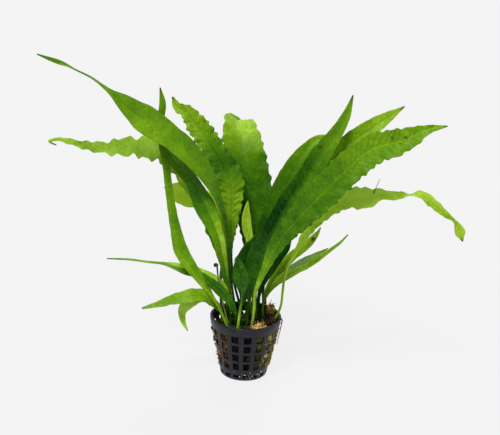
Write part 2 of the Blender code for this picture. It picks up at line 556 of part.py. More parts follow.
def make_young_frond(parts, cutters):
    """A young frond: a thin stem that ends in a tight dark coil."""
    rows = smooth_route(YOUNG_FROND, YOUNG_STEM_STEP)
    places = [Vector(row) * MM for row in rows]
    stem = make_tube("young_frond_coiled", places, [YOUNG_STEM_RADIUS * MM] * len(places), parts, "coil")
    bm = bmesh.new()
    bmesh.ops.create_cone(
        bm, cap_ends=True, segments=COIL_SIDES, depth=COIL_THICKNESS,
        radius1=COIL_RADIUS, radius2=COIL_RADIUS)
    tip = Vector(YOUNG_FROND[-1])
    for vert in bm.verts:
        x, y, z = vert.co
        vert.co = (tip + Vector((x - COIL_RADIUS + YOUNG_STEM_RADIUS, z, y))) * MM
    coil = add_object("young_frond_coil", mesh_from("young_frond_coil", bm), cutters)
    add_boolean(stem, coil, "UNION")
    apply_modifiers(stem)


def make_root(parts):
    """A dark root that has grown over the rim and hangs down the outside."""
    rows = smooth_route(ROOT, ROOT_STEP)
    places = [Vector(row) * MM for row in rows]
    make_tube("root_over_rim", places, [ROOT_RADIUS * MM] * len(places), parts, "root")


def main():
    for obj in list(bpy.data.objects):
        bpy.data.objects.remove(obj)
    parts = bpy.data.collections.new("potted_java_fern")
    cutters = bpy.data.collections.new("cutters")
    bpy.context.scene.collection.children.link(parts)
    bpy.context.scene.collection.children.link(cutters)
    make_pot(parts, cutters)
    make_wool(parts)
    for name, (centre, size) in TUFTS.items():
        make_tuft(name, centre, size, parts)
    for name, route in RHIZOMES.items():
        make_rhizome(name, route, parts)
    for name, frond in FRONDS.items():
        make_frond(name, frond, parts)
    make_frond("dead_leaf", DEAD_LEAF, parts)
    make_young_frond(parts, cutters)
    make_root(parts)


main()
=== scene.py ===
"""The looks of a potted java fern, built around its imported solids.

The routes, radii and heights are the ones of the solids, written in millimetres and turned into
metres when a mesh is made. The blades are thinner here, as real ones are, and the wool's tufts
fluffier and a little larger. +Z is up, and -Y is the side the camera looks at.
"""
import json
import math
import random
from typing import NamedTuple

import bmesh
import bpy
import numpy as np
from mathutils import Matrix, Vector, noise


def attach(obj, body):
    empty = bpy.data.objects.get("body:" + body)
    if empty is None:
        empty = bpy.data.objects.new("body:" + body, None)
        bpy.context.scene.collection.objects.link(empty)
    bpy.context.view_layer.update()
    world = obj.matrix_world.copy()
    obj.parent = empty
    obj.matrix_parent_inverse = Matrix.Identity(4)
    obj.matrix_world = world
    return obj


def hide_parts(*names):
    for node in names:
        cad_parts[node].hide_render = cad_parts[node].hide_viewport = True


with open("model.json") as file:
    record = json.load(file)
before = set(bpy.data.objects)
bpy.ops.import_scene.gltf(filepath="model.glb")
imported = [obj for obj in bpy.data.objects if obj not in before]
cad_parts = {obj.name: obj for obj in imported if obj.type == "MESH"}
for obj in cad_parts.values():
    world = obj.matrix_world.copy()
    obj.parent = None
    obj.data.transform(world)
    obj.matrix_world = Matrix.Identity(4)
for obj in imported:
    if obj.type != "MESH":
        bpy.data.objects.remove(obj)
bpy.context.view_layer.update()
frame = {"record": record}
SLOT_COLOURS = {m["slot"]: m["base_color"][:3] for m in frame["record"]["materials"]}

MM = 0.001

# Net pot
POT_HEIGHT = 47.0
RIM_RADIUS = 27.0
RIM_BAND_HEIGHT = 6.8
RIM_BAND = POT_HEIGHT - RIM_BAND_HEIGHT
BAND_STEP = 0.7
BAND_LAP = 1.0
BASE_RADIUS = 17.6
BASE_INSET = 0.6
BASE_RISE = 0.8
WALL = 1.1
COLUMNS = 16
FIRST_COLUMN = math.radians(5.5)
WINDOW_ANGLE = math.radians(13.2)
WINDOW_TOPS = (39.5, 31.5, 23.5, 15.5)
WINDOW_HEIGHT = 6.1
LOW_WINDOW_TOP = 5.0
LOW_WINDOW_HEIGHT = 2.8
SLOT_INNER = 7.0
SLOT_OUTER = 14.5
WINDOW_CORNER = 0.7
POT_EDGE = 0.16
RIM_EDGE = 0.45
OPEN_STEPS = 4
BAR_STEPS = 4
RIM_STEPS = 128

# Wool
WOOL_TOP = 38.0
WOOL_BOTTOM = 1.75
WOOL_GAP = 0.45
SIDE_FIBRES = 2600
TOP_FIBRES = 900
TOP_REACH = 22.5
FIBRE_RADIUS = 0.07
FIBRE_TAPER = (1, 1, 1, 0.8, 0.4)
FIBRE_CURL = 0.35

# The tufts' fluff, where every twelfth fibre is a longer, thicker shred
TUFT_GROWTH = 1.15
TUFT_RISE = 1.8
TUFT_FIBRES = 620
SHRED_EVERY = 12
SHRED_RADIUS = 0.3

# Wool out of the windows: shreds by (middle, spread) in degrees, bulges by (column, row)
LOOSE_SHREDS = 600
LOOSE_RIGHT = (80, 20)
LOOSE_LEFT = (-72, 14)
LEFT_SHRED_EVERY = 5
SHRED_REACH = 0.9
WOOL_BULGES = (
    (2, 0), (3, 0), (4, 0), (3, 1), (4, 1), (2, 2), (3, 2), (3, 3), (12, 0), (12, 1), (13, 2))
BULGE_SIZE = (2.3, 2.3, 2.9)

# Rhizomes and roots, the fine ones by (place along the rim, drop)
RHIZOME_RADIUS = 2.5
RHIZOME_GAP = 0.35
RHIZOME_HEIGHT = WOOL_TOP + RHIZOME_GAP + RHIZOME_RADIUS
# So many hairs that they lie as a dark mass over the wool: the rhizomes' own hairs, and painted shade in
# the pot's mouth.
RHIZOME_HAIRS = 520
HAIR_RADIUS = 0.08
ROOT_RADIUS = 0.45
FINE_ROOTS = ((1.6, 9.0), (-1.4, 6.0), (2.6, 4.5))

# Litter: crumbs on the wool, shreds in a box right of the middle, and specks of lime
# So many crumbs that they darken the wool's top: real litter, and painted shade in the pot's mouth.
CRUMBS = 150
CRUMB_REACH = 20
LITTER_SHREDS = 70
LITTER_BOX = ((8, 22), (-11, 6), (40, 46.5))
PALE_SPECKS = 16

# Fronds
STIPE_WIDTH = 2.4
STIPE_THICKNESS = 1.8
BLADE_THICKNESS = 0.34
EDGE_THICKNESS = 0.14
RIB_DEPTH = 0.75
RIB_HALF_WIDTH = 0.6
LEAST_WIDTH = 0.6
FINE_STEP = 1.2
ACROSS_STEPS = 20
VEIN_SPACING = 4.5
VEIN_SLANT = 0.8
FOOT_DEPTH = 0.5

# Leaf colours, from the darkest tone to the palest
LEAF_TONES = (
    (0, (0.002, 0.04, 0.001)), (0.3, (0.038, 0.15, 0.001)), (0.5, (0.09, 0.24, 0.002)),
    (0.7, (0.165, 0.355, 0.004)), (0.85, (0.275, 0.475, 0.014)), (1, (0.41, 0.66, 0.06)))
LEAF_YELLOW = (0.6, 0.78, 0.035, 1)
LEAF_BROWN = (0.03, 0.018, 0.007, 1)
TRANSLUCENCY = {"leaf_deep": 0.22, "leaf_fresh": 0.3, "leaf_pale": 0.38, "leaf_yellow": 0.35}

# Floor, its radius in metres
FLOOR_RADIUS = 30
FLOOR_GLOW = 0.875
GLOW_SHARE = 0.93

# Light: the suns by name, direction, strength and width in degrees
WORLD_LIGHT = 0.55
SUNS = (
    ("key_light", (0.25, 0.55, -1), 2.7, 14),
    ("back_light", (-0.2, -0.8, -0.9), 1.3, 20),
)

# Camera, its place in metres
EYE = Vector((0, -0.9133, 0.4544))
PITCH = math.radians(19.8)
CAMERA_ROLL = math.radians(2.5)
LENS = 94.7


class Look(NamedTuple):
    """How a frond looks: lengths in mm, and shares from 0 to 1.

    tone goes from dark green at 0 to pale green at 1; along a frond it is partly the leaf's own
    green and partly painted shade and light: lower at the feet among the crowded stalks and on
    fronds deep in the tuft, raised where other fronds' shadows fall. ruffle is the height of the
    margins' waves and wave their length. ridges is the height of the ridges across the blade, and
    lobes how far the margins go in and out, as a share of the width. left and right paint shade
    (below nought) and light (above nought) on a half of the blade, for the half that turns from
    or toward the light, and rib darkens or lightens the midrib. tone, yellow, left and right may
    be several values, spread evenly from the foot to the tip. tip is the share of the length that
    is brown at the tip. spots are brown: (share of the length, place across from -1 to 1,
    radius).
    """
    slot: str
    tone: object
    ruffle: float = 0.5
    wave: float = 17.0
    ridges: float = 0.1
    lobes: float = 0.03
    yellow: object = 0.0
    left: object = 0.0
    right: object = 0.0
    rib: float = -0.12
    tip: float = 0.015
    spots: tuple = ()


class Frond(NamedTuple):
    """A frond: the way it faces, its fold in degrees, its look, and its route from foot to tip
    as (x, y, z, leaf width), with the roll in degrees behind them where it has one."""
    face: tuple
    fold: float
    look: Look
    route: list


# The tones below are partly each leaf's own green and partly painted shade and light: low at the feet and
# on fronds deep in the tuft, raised past 1 where other fronds' shadows fall; left and right paint shade and
# light on the half of a blade that turns from or toward the light.
FRONDS = {
    # High on the left
    "frond_long_left": Frond((0.1, -1, 0.5), 18, Look(
        "leaf_deep", (0.1, 0.2, 0.4, 0.58, 0.68, 0.72, 0.66, 0.55), 0.8, 30, right=-0.08, tip=0.01), [
        (-7, 2, 43.6, 2), (-14, 4, 86, 2.2), (-16, 4, 108, 3), (-22, 0, 134, 4.5), (-29, -2, 151, 9.5),
        (-44, -6, 173, 16), (-61, -7, 188, 17.5, 5), (-76, -9, 198, 20.5), (-92, -13, 211, 13.5, -10),
        (-103, -16, 220, 7, -50), (-114, -19, 230, 6, -75), (-125, -21, 236, 5, -80),
        (-137, -24, 242, 4, -25), (-151, -28, 248, 0.8)]),
    "frond_ruffled_left": Frond((0, -1, 0.2), 8, Look(
        "leaf_pale", (0.3, 0.5, 0.9, 1.0, 1.0, 0.95), 2.4, 18, 0.15, 0.3, rib=0.0, tip=0.02), [
        (-13, 1, 43.6, 2), (-20, 5, 85, 2.4), (-28, 8, 107, 5), (-40, 12, 131, 6), (-52, 14, 151, 9),
        (-60, 15, 163, 13), (-70, 15, 169, 14.5), (-82, 14, 172, 15), (-94, 13, 172, 13),
        (-107, 12, 171, 9.5, 10), (-120, 11, 172, 7, 10), (-133, 9, 175, 4.5), (-143, 8, 177, 2.5),
        (-149, 8, 175, 2), (-144, 9, 172, 0.8)]),
    "frond_narrow_left": Frond((0.2, -1, 0.2), 15, Look(
        "leaf_fresh", (0.85, 0.78, 0.72, 0.68, 0.66, 0.62), 0.5, right=-0.12, tip=0.03), [
        (-11, -17, 38.7, 2), (-20, -20, 61, 2), (-26, -20, 71, 3), (-32, -18, 79, 6.5),
        (-41, -14, 89, 8.5), (-49, -11, 100, 10.5), (-55, -6, 119, 7.5), (-59, -1, 137, 6),
        (-61, 2, 148, 5.5), (-63, 4, 162, 5.5), (-67, 8, 180, 5.5), (-68, 10, 194, 5),
        (-67, 11, 206, 5), (-69, 12, 218, 0.8)]),
    "frond_dark_left": Frond((0.3, -1, 0.1), 15, Look(
        "leaf_deep", (0.1, 0.2, 0.45, 0.66, 0.55, 0.36, 0.36, 0.45, 0.5), 0.6,
        right=(0, 0.1, 0.25, 0.3, 0.1, -0.05, -0.05, 0)), [
        (-14, -3, 38.6, 2), (-15, -1, 67, 2.4), (-17, 0, 82, 5), (-19.6, 0, 94, 7),
        (-22.5, -2, 107.5, 9), (-28, -0.5, 121, 12), (-33, 2.5, 130, 15.5), (-39, 4, 141, 13),
        (-44, 4, 150.5, 10.5), (-51, 5, 158.5, 9.5), (-60, 4, 169, 8), (-66, 4, 181, 4),
        (-71, 2, 190, 0.8)]),
    "frond_yellow_left": Frond((0.1, -1, 0.2), 10, Look(
        "leaf_yellow", (0.3, 0.7, 1.0, 1.1, 1.1), 0.8, yellow=(0.1, 0.4, 0.6, 0.6)), [
        (-10, 10, 43.6, 2), (-16, 16, 83, 2.4), (-18, 20, 101, 6), (-24, 23, 119, 12),
        (-36, 26, 129, 15), (-49, 27, 132.5, 18), (-59, 28, 135, 12), (-65, 28, 138, 3)]),
    "frond_crinkled_left": Frond((0.1, -1, 0.1), 12, Look(
        "leaf_fresh", (0.1, 0.2, 0.66, 0.84, 0.36, 0.76, 1.0), 2.0, 9, 0.5, 0.15), [
        (-3, 11, 43.8, 2), (-11, 12, 73, 2.2), (-14, 15, 96, 4), (-14, 15, 114, 10),
        (-14.5, 17, 131, 16), (-16, 18, 147, 19.5), (-21, 20, 158, 19.5), (-27, 22, 167, 18),
        (-34, 24, 177, 17), (-42, 26, 187, 16), (-51, 28, 197, 10), (-57, 28, 200, 7),
        (-61, 29, 207, 1.5)]),
    # In the middle
    "frond_broad_middle": Frond((0, -1, 1), 20, Look(
        "leaf_fresh", (0.1, 0.15, 0.25, 0.3, 0.38, 0.62, 0.96, 0.85), 1.3, 15, 0.45, 0.06, left=-0.08), [
        (1, 11, 43.9, 2), (-4, 13, 62, 2.4), (1, 20, 82, 8, 20), (4, 27, 102, 20, 25),
        (3, 32, 117, 27, 22), (1, 37, 132, 31, 12), (-4, 43, 148, 33, 4), (-8, 50, 163, 31, -2),
        (-11, 60, 174, 27, -10), (-13, 70, 179, 21, -15), (-13, 80, 177, 13, -18),
        (-12, 89, 169, 1.5, -18)]),
    "frond_behind_middle": Frond((0, -1, 0.2), 12, Look(
        "leaf_yellow", (0.1, 0.3, 0.6, 0.72), yellow=0.2), [
        (5, 15.5, 38.6, 2), (2, 22, 62, 2.4), (7, 36, 90, 9), (9, 48, 115, 13), (8, 56, 132, 14),
        (2, 63, 148, 13), (-6, 70, 160, 8), (-11, 74, 168, 1)]),
    "frond_small_middle": Frond((0.3, -1, 0.2), 15, Look(
        "leaf_yellow", (0.1, 0.4, 0.9, 0.95), 0.4, yellow=(0, 0.1, 0.3)), [
        (3, 1, 43.6, 2), (1, 4, 74, 2.4), (1.4, 7, 92, 4), (0.4, 11, 104, 6), (-2, 13, 112, 7.5),
        (-3, 15, 123, 6), (-2, 17, 133, 0.8)]),
    # Its deep tone is painted shade, for the dark middle of the tuft.
    "frond_dark_middle": Frond((0.2, -1, 0.3), 15, Look(
        "leaf_deep", (0.1, 0.16, 0.2), 1.0, lobes=0.07), [
        (-3, -11, 43.6, 2), (-4, -9.5, 58, 2.4), (-2, -10, 66, 6), (-1, -11, 74, 13),
        (-1.3, -12, 82, 17.5), (-1.3, -13, 90, 20), (0, -13, 98, 19), (1.7, -12.5, 106, 13),
        (3.7, -12, 112, 6.6), (5, -12, 117.5, 0.8)]),
    "frond_short_front": Frond((0, -1, 0.3), 12, Look("leaf_deep", (1.0, 1.0, 0.4, 0.2, 0.1)), [
        (-6, -18, 38.5, 2), (-4.2, -21, 61, 1.8), (-3, -23, 73, 2), (-2.8, -25, 79, 5),
        (-4, -27, 85, 11), (-5.5, -27, 92, 11), (-7, -25, 98, 7), (-8, -22, 103, 0.8)]),
    # On the right
    "frond_tall_right": Frond((-0.2, -1, 0.2), 15, Look(
        "leaf_fresh", (0.6, 0.28, 0.26, 0.28, 0.34, 0.5, 0.7, 0.66), 0.5,
        left=(0, 0, -0.1, -0.26, -0.24, -0.1, 0), tip=0.03, spots=((0.78, -0.5, 1.0),)), [
        (1, -5, 38.6, 2), (2, -14, 67, 3), (4, -17, 82, 10), (8, -18, 98, 18.5), (12, -19, 111, 17.5),
        (18.5, -19, 125, 16), (28, -19, 145, 16), (40, -17, 164, 16), (49, -15, 181, 15),
        (59, -13, 197, 10, 10), (65, -10, 209, 6.5), (69, -9, 224, 0.8)]),
    "frond_pale_right": Frond((-0.2, -1, 0.2), 12, Look(
        "leaf_pale", (0.1, 0.2, 0.26, 0.32, 0.6, 0.95), 0.6), [
        (6, 11, 43.6, 2), (5, 8, 68, 3), (9, 9, 90, 10), (13, 11, 111, 15), (18, 13, 129, 16),
        (25, 15, 146, 17), (32, 18, 162, 14), (40, 20, 175.5, 8), (49, 23, 182.5, 4.5),
        (60, 26, 182, 1)]),
    "frond_bright_right": Frond((-0.2, -1, 0.2), 12, Look(
        "leaf_fresh", (0.3, 0.4, 0.6, 0.8, 0.9), 0.5, tip=0.025), [
        (8, 0, 43.6, 2), (7, -6, 74, 3), (16, -9, 102, 9), (27, -11, 130, 13), (39, -10, 151, 14),
        (52, -8, 169, 14.5), (63, -6, 181, 15), (76, -4, 193, 13.5), (91, -2, 204, 10),
        (107, 0, 215, 0.8)]),
    "frond_broad_right": Frond((-0.1, -1, 0.3), 14, Look(
        "leaf_fresh", (0.9, 0.85, 0.42, 0.38, 0.6, 0.68, 0.72), 1.5, 13, 0.34, 0.09, left=0.04, rib=0.16,
        spots=((0.83, -0.4, 0.9), (0.87, -0.1, 1.0), (0.85, 0.25, 0.6))), [
        (5, -12, 43.6, 2.2), (6, -17, 60, 2.2), (6, -20, 73, 2.6), (9, -23, 85, 4), (13, -26, 97, 6),
        (18, -30, 112, 10), (26, -33, 127, 14), (35, -36, 140, 18), (50, -38, 159, 22),
        (63, -39, 175, 22.5), (76, -38, 188, 22.5), (86, -38, 195, 21), (98, -36, 198, 19),
        (110, -35, 203, 14), (120, -34, 208, 7), (134, -33, 211, 0.8)]),
    # Tones up to 1.1: painted light where the broad right frond's shadow falls.
    "frond_drooping_right": Frond((-0.1, -1, 0.4), 10, Look(
        "leaf_pale", (0.95, 0.95, 1.0, 1.1, 1.0, 0.92), 1.3, 15, 0.15, 0.12, yellow=0.2, right=-0.06), [
        (20.5, 2, 38.7, 2), (26.3, -1, 57, 1.8), (26.8, -3.5, 67, 1.8), (27.6, -6, 81, 2),
        (29.4, -8, 91, 2.2), (32.6, -10, 99, 2.8), (36, -12, 107.5, 3.4), (39, -15, 116, 5),
        (43.5, -18, 126, 8), (52, -22, 139, 11), (70, -24, 151.7, 14), (80, -24, 152.8, 15.5),
        (87, -24, 153.8, 12.5), (92, -24, 156, 8), (100, -23, 155, 6.5), (107, -23, 155.5, 6, 20),
        (113, -23, 156, 5, 70), (121, -24, 157, 6, 20), (129, -24, 152, 7), (139, -25, 144, 5),
        (147, -24, 138, 2.6), (151, -24, 131, 7.5), (154, -24, 123, 1)]),
    "frond_thin_right": Frond((-0.2, -1, 0.5), 12, Look(
        "leaf_fresh", (0.4, 0.9, 0.95, 0.9), tip=0.05), [
        (13, 1, 43.3, 2), (13, 4, 56, 1.8), (17.5, 5, 66, 3), (23, 6, 73.4, 6), (30, 7, 78.2, 7),
        (36, 8, 81.4, 5.6), (42.5, 8.5, 84.7, 5), (49, 9, 89, 4.7), (56, 10, 94, 3.4),
        (63, 11, 99.8, 2.6), (68.5, 11.5, 104.5, 2), (74, 12, 111, 0.8)]),
    "frond_spotted_right": Frond((-0.3, -1, 0.3), 12, Look(
        "leaf_yellow", (0.4, 0.75, 0.9, 0.9), yellow=(0.05, 0.2, 0.25), spots=((0.88, 0.1, 1.4),)), [
        (12, 10, 42.9, 2), (13.4, 11, 57, 2.2), (16, 12, 65, 3.8), (21.4, 12.5, 74, 6.8),
        (28, 13, 85, 7.6), (34.5, 14, 92.3, 7.2), (41, 14.5, 97.5, 6.4), (45.8, 15, 102.5, 6),
        (49, 15.5, 106.5, 5), (51.7, 16, 110.5, 2.6), (53.4, 16.5, 114.2, 0.8)]),
    # Its deep tone is painted shade, for the dark middle of the tuft.
    "frond_dark_inner_right": Frond((-0.3, -1, 0.1), 15, Look("leaf_deep", (0.05, 0.1, 0.14)), [
        (9, 5.5, 38.4, 2), (9, 5, 59, 2.4), (12, 5, 72, 5), (17.5, 5, 84, 7.5), (23, 5, 95, 8.5),
        (28, 6, 102, 7), (31.5, 7, 108, 1)]),
    # Low on the left
    "frond_low_left": Frond((0.2, -1, 0.8), 12, Look(
        "leaf_deep", (0.5, 0.65, 0.78, 0.75), left=-0.16, right=0.24, tip=0.15), [
        (-11.5, -5.5, 38.4, 2), (-13, -6.5, 60, 2.2), (-18, -6.2, 71, 6.5), (-27, -5, 77, 9),
        (-38, -2.5, 80.5, 9), (-48, -0.5, 82.5, 8), (-56, 1.5, 84, 5), (-63, 3, 84.8, 2.6),
        (-75, 4.5, 85, 1.8), (-89, 6.5, 85.5, 1.7), (-106.5, 8.5, 84.6, 0.8)]),
    "frond_lobe_left": Frond((0.1, -1, 0.9), 12, Look(
        "leaf_fresh", (0.6, 0.7, 0.8, 0.85), 0.7, lobes=0.08), [
        (-17, -9, 43.6, 2), (-19, -12, 54, 2), (-24.5, -17, 62, 4.5), (-32, -21.5, 70.5, 9.5),
        (-40, -25, 71.5, 10.5), (-51, -27, 69.5, 8.5), (-64, -30, 66, 5), (-76, -32, 63, 1.4)]),
    "frond_drop_left": Frond((0.6, -1, 0.6), 12, Look("leaf_fresh", (0.95, 1.05, 1.05, 1.05)), [
        (-18, 0, 43.6, 2), (-19.5, -3.5, 54.5, 2), (-25, -7.5, 61, 4.6), (-31.5, -12, 66, 8),
        (-39, -16, 66.5, 11), (-44.3, -18.5, 62, 9.8), (-47.5, -19, 55, 6.5), (-46.5, -19.5, 48.5, 4.2),
        (-42.7, -20, 41, 0.8)]),
    "frond_front_left": Frond((0.3, -1, 0.4), 12, Look("leaf_deep", (0.2, 0.3, 0.35)), [
        (-8, -11, 43.8, 2), (-7, -15, 52, 2), (-11, -17, 63, 5), (-16, -18, 70, 7.5),
        (-23, -18.6, 77, 7.5), (-29, -19.6, 83, 5), (-33, -19.4, 88, 0.8)]),
    # Behind, leaning to the back
    "frond_back_left": Frond((0, -1, 1), 14, Look("leaf_deep", (0.1, 0.3, 0.42), 0.7), [
        (-12, 14, 38.7, 2), (-14.5, 30, 75, 2.4), (-15, 37, 91, 3.4), (-14, 44, 105, 9),
        (-14, 52, 119, 12), (-16, 60, 131, 11), (-20, 67, 140, 6), (-23, 71, 144, 0.8)]),
    "frond_back_middle_left": Frond((0, -1, 1), 14, Look("leaf_deep", (0.1, 0.3, 0.48), 0.7), [
        (-6, 16, 38.7, 2), (-1, 30, 73, 3), (2, 42, 92, 9), (2, 52, 112, 13), (-1, 62, 128, 13),
        (-5, 70, 141, 9), (-8, 77, 150, 0.8)]),
    "frond_back_middle": Frond((0, -1, 1.5), 14, Look("leaf_deep", (0.1, 0.3, 0.4), 0.7), [
        (0, 17, 38.8, 2), (6, 33, 69, 4), (10, 50, 86, 10), (11, 66, 99, 14), (11, 78, 108, 12),
        (10, 89, 114, 8), (9, 96, 118, 0.8)]),
    "frond_back_right": Frond((-0.3, -1, 1), 14, Look("leaf_deep", (0.1, 0.3, 0.46), 0.7), [
        (9, 15.5, 38.7, 2), (12, 30, 74, 3), (18, 42, 93, 9), (25, 52, 110, 13), (32, 61, 125, 14),
        (40, 69, 136, 10), (48, 76, 146, 0.8)]),
    "frond_back_far_right": Frond((-0.5, -1, 1), 14, Look("leaf_deep", (0.1, 0.35, 0.52), 0.7), [
        (13.5, 16, 38.6, 2), (14, 26, 70, 3), (23, 35, 87, 7), (37, 46, 105, 11), (51, 57, 119, 13),
        (65, 66, 132, 10), (77, 75, 142, 0.8)]),
    "frond_back_low_right": Frond((-0.5, -1, 1.5), 12, Look("leaf_deep", (0.1, 0.55, 0.7)), [
        (15.5, 6, 39, 2), (16.4, 23.6, 61, 2.4), (28, 37, 66, 6), (40, 52, 69, 7.5), (52, 66, 71, 6),
        (64, 78, 74, 0.8)]),
    "frond_back_low_left": Frond((0.4, -1, 1.2), 12, Look("leaf_deep", (0.1, 0.35, 0.5)), [
        (-18, 6, 38.8, 2), (-20.5, 22, 65, 2.4), (-19, 37, 78, 6), (-24, 52, 89, 9), (-31, 66, 97, 10),
        (-38, 77, 102, 8), (-44, 84, 108, 0.8)]),
}
DEAD_LEAF = Frond((0.2, -0.5, 1), 24, Look("litter", 0.3, 1.8, 4, 0.5, 0.45), [
    (10, -5.5, 39.2, 2), (13.5, -5.5, 41.6, 7), (17.5, -6, 44.4, 8), (20.5, -7.5, 46.2, 5.5),
    (22.8, -8.9, 46.8, 1)])
RHIZOMES = {
    "rhizome_front": [(-20, -8), (-14, -10), (-8, -11.4), (-2, -11.2), (4, -12), (9, -12)],
    "rhizome_middle": [(-20, -1), (-13, 1), (-6, 2), (1, 1.4), (8, 0), (15, 1)],
    "rhizome_back": [(-14, 9), (-9, 10.4), (-3, 11.2), (3, 11.2), (9, 10.6), (12.5, 9.8)],
}
YOUNG_FROND = [
    (-13, -10, 43.8), (-18, -10, 63), (-20.4, -10, 73.4), (-22, -10, 82.8), (-22.8, -10, 90.5)]
YOUNG_RADIUS = 0.62
COIL_RADIUS = 1.7
COIL_TURNS = 2.1
ROOT = [(21.8, -3, 38.8), (23, -5, 43), (24.2, -6.6, 48.4), (27.2, -7.4, 47.6), (27.1, -7.5, 44),
        (26.5, -7.4, 39), (25.4, -7.2, 33), (24.6, -7.6, 27)]
LEAF_HAIR = [(87.5, -24, 156.5), (88.8, -24, 161), (91, -24, 167.5)]
TUFTS = {
    "wool_tuft_front": ((11, -16.2, 41.3), (4.6, 3.5, 3.2)),
    "wool_tuft_back": ((19, 10.9, 43.85), (2.7, 2.8, 5.6)),
}


# Meshes

def finish_piece(name, verts, faces, material, replaced=()):
    """An object of the points in mm and the faces, shaded smooth, riding on the one body."""
    mesh = bpy.data.meshes.new(name)
    mesh.from_pydata([tuple(v) for v in np.asarray(verts) * MM], [], faces)
    bm = bmesh.new()
    bm.from_mesh(mesh)
    bmesh.ops.recalc_face_normals(bm, faces=bm.faces)
    bm.to_mesh(mesh)
    bm.free()
    mesh.shade_smooth()
    mesh.materials.append(material)
    piece = add_object(name, mesh)
    place_piece(piece, replaced)
    return piece


def add_object(name, data):
    """A new object in the scene."""
    made = bpy.data.objects.new(name, data)
    bpy.context.scene.collection.objects.link(made)
    return made


def place_piece(piece, replaced):
    """The piece rides on the root body and stands for the solids it replaces."""
    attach(piece, "root")
    if replaced:
        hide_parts(*replaced)


def smooth_rows(route, step):
    """Rows at even steps on one smooth curve through the route's own points."""
    rows = np.array(route, float)
    gaps = np.linalg.norm(np.diff(rows[:, :3], axis=0), axis=1)
    chords = np.diff(rows, axis=0) / gaps[:, None]
    inner = chords[:-1] * gaps[1:, None] + chords[1:] * gaps[:-1, None]
    inner = inner / (gaps[:-1] + gaps[1:])[:, None]
    tangents = np.vstack([chords[:1], inner, chords[-1:]])
    starts = np.concatenate([[0], np.cumsum(gaps)])
    count = max(5, math.ceil(starts[-1] / step))
    along = np.linspace(0, starts[-1], count + 1)
    span = np.clip(np.searchsorted(starts, along, side="right") - 1, 0, len(gaps) - 1)
    t = ((along - starts[span]) / gaps[span])[:, None]
    gap = gaps[span][:, None]
    return (rows[span] * (2 * t**3 - 3 * t**2 + 1) + rows[span + 1] * (3 * t**2 - 2 * t**3)
            + tangents[span] * gap * (t**3 - 2 * t**2 + t) + tangents[span + 1] * gap * (t**3 - t**2))


def unit(vectors):
    """The vectors at length 1."""
    return vectors / np.linalg.norm(vectors, axis=-1, keepdims=True)


def wander(along, length, seed):
    """A smooth value from about -1 to 1 that goes up and down unevenly along a frond."""
    draw = random.Random(seed)
    total = 0
    for share, part in ((1.0, 0.6), (0.62, 0.3), (1.9, 0.25)):
        total = total + part * np.sin(math.tau * along / (length * share) + draw.uniform(0, math.tau))
    return total


def tube(points, radii, sides):
    """Points and faces of a closed tube along the points, with a radius at each."""
    points = np.asarray(points, float)
    tangents = unit(np.gradient(points, axis=0))
    reference = np.array([0.31, 0.52, 0.79])
    verts = []
    for point, tangent, radius in zip(points, tangents, radii):
        first = unit(np.cross(tangent, reference))
        second = np.cross(tangent, first)
        for i in range(sides):
            angle = math.tau * i / sides
            verts.append(point + (first * math.cos(angle) + second * math.sin(angle)) * radius)
    return verts, ring_faces(len(points), sides)


def thread(route, step, first_radius, last_radius, sides):
    """Points and faces of a tapering tube along a smooth curve through the route."""
    points = smooth_rows(route, step)
    return tube(points, np.linspace(first_radius, last_radius, len(points)), sides)


def ring_faces(rings, sides, is_loop=False):
    """Faces over rings of points that close in a loop, or else have a flat cap at both ends."""
    faces = [
        (ring * sides + i, ring * sides + (i + 1) % sides,
         (ring + 1) % rings * sides + (i + 1) % sides, (ring + 1) % rings * sides + i)
        for ring in range(rings if is_loop else rings - 1) for i in range(sides)]
    if not is_loop:
        faces.append(tuple(range(sides)))
        faces.append(tuple(range((rings - 1) * sides, rings * sides)))
    return faces


def join_piece(name, shapes, material, replaced=()):
    """One piece out of several (points, faces)."""
    verts, faces = [], []
    for some_verts, some_faces in shapes:
        start = len(verts)
        verts.extend(some_verts)
        faces.extend(tuple(i + start for i in face) for face in some_faces)
    finish_piece(name, verts, faces, material, replaced)


# Fronds

def blade_frames(rows, face):
    """The middle line of a frond, and the ways across it and up from it, at each row."""
    places = rows[:, :3]
    tangents = unit(np.gradient(places, axis=0))
    up = unit(face - tangents * (tangents @ face)[:, None])
    side = np.cross(tangents, up)
    roll = np.radians(rows[:, 4])[:, None]
    across = side * np.cos(roll) + up * np.sin(roll)
    upward = up * np.cos(roll) - side * np.sin(roll)
    return places, across, upward


def at_margins(name, sides, along, length, u):
    """A value that wanders along each margin on its own, read on the two halves of a blade."""
    left, right = (wander(along, length, f"{name} {side}")[:, None] for side in sides)
    return np.where(u < 0, left, right)


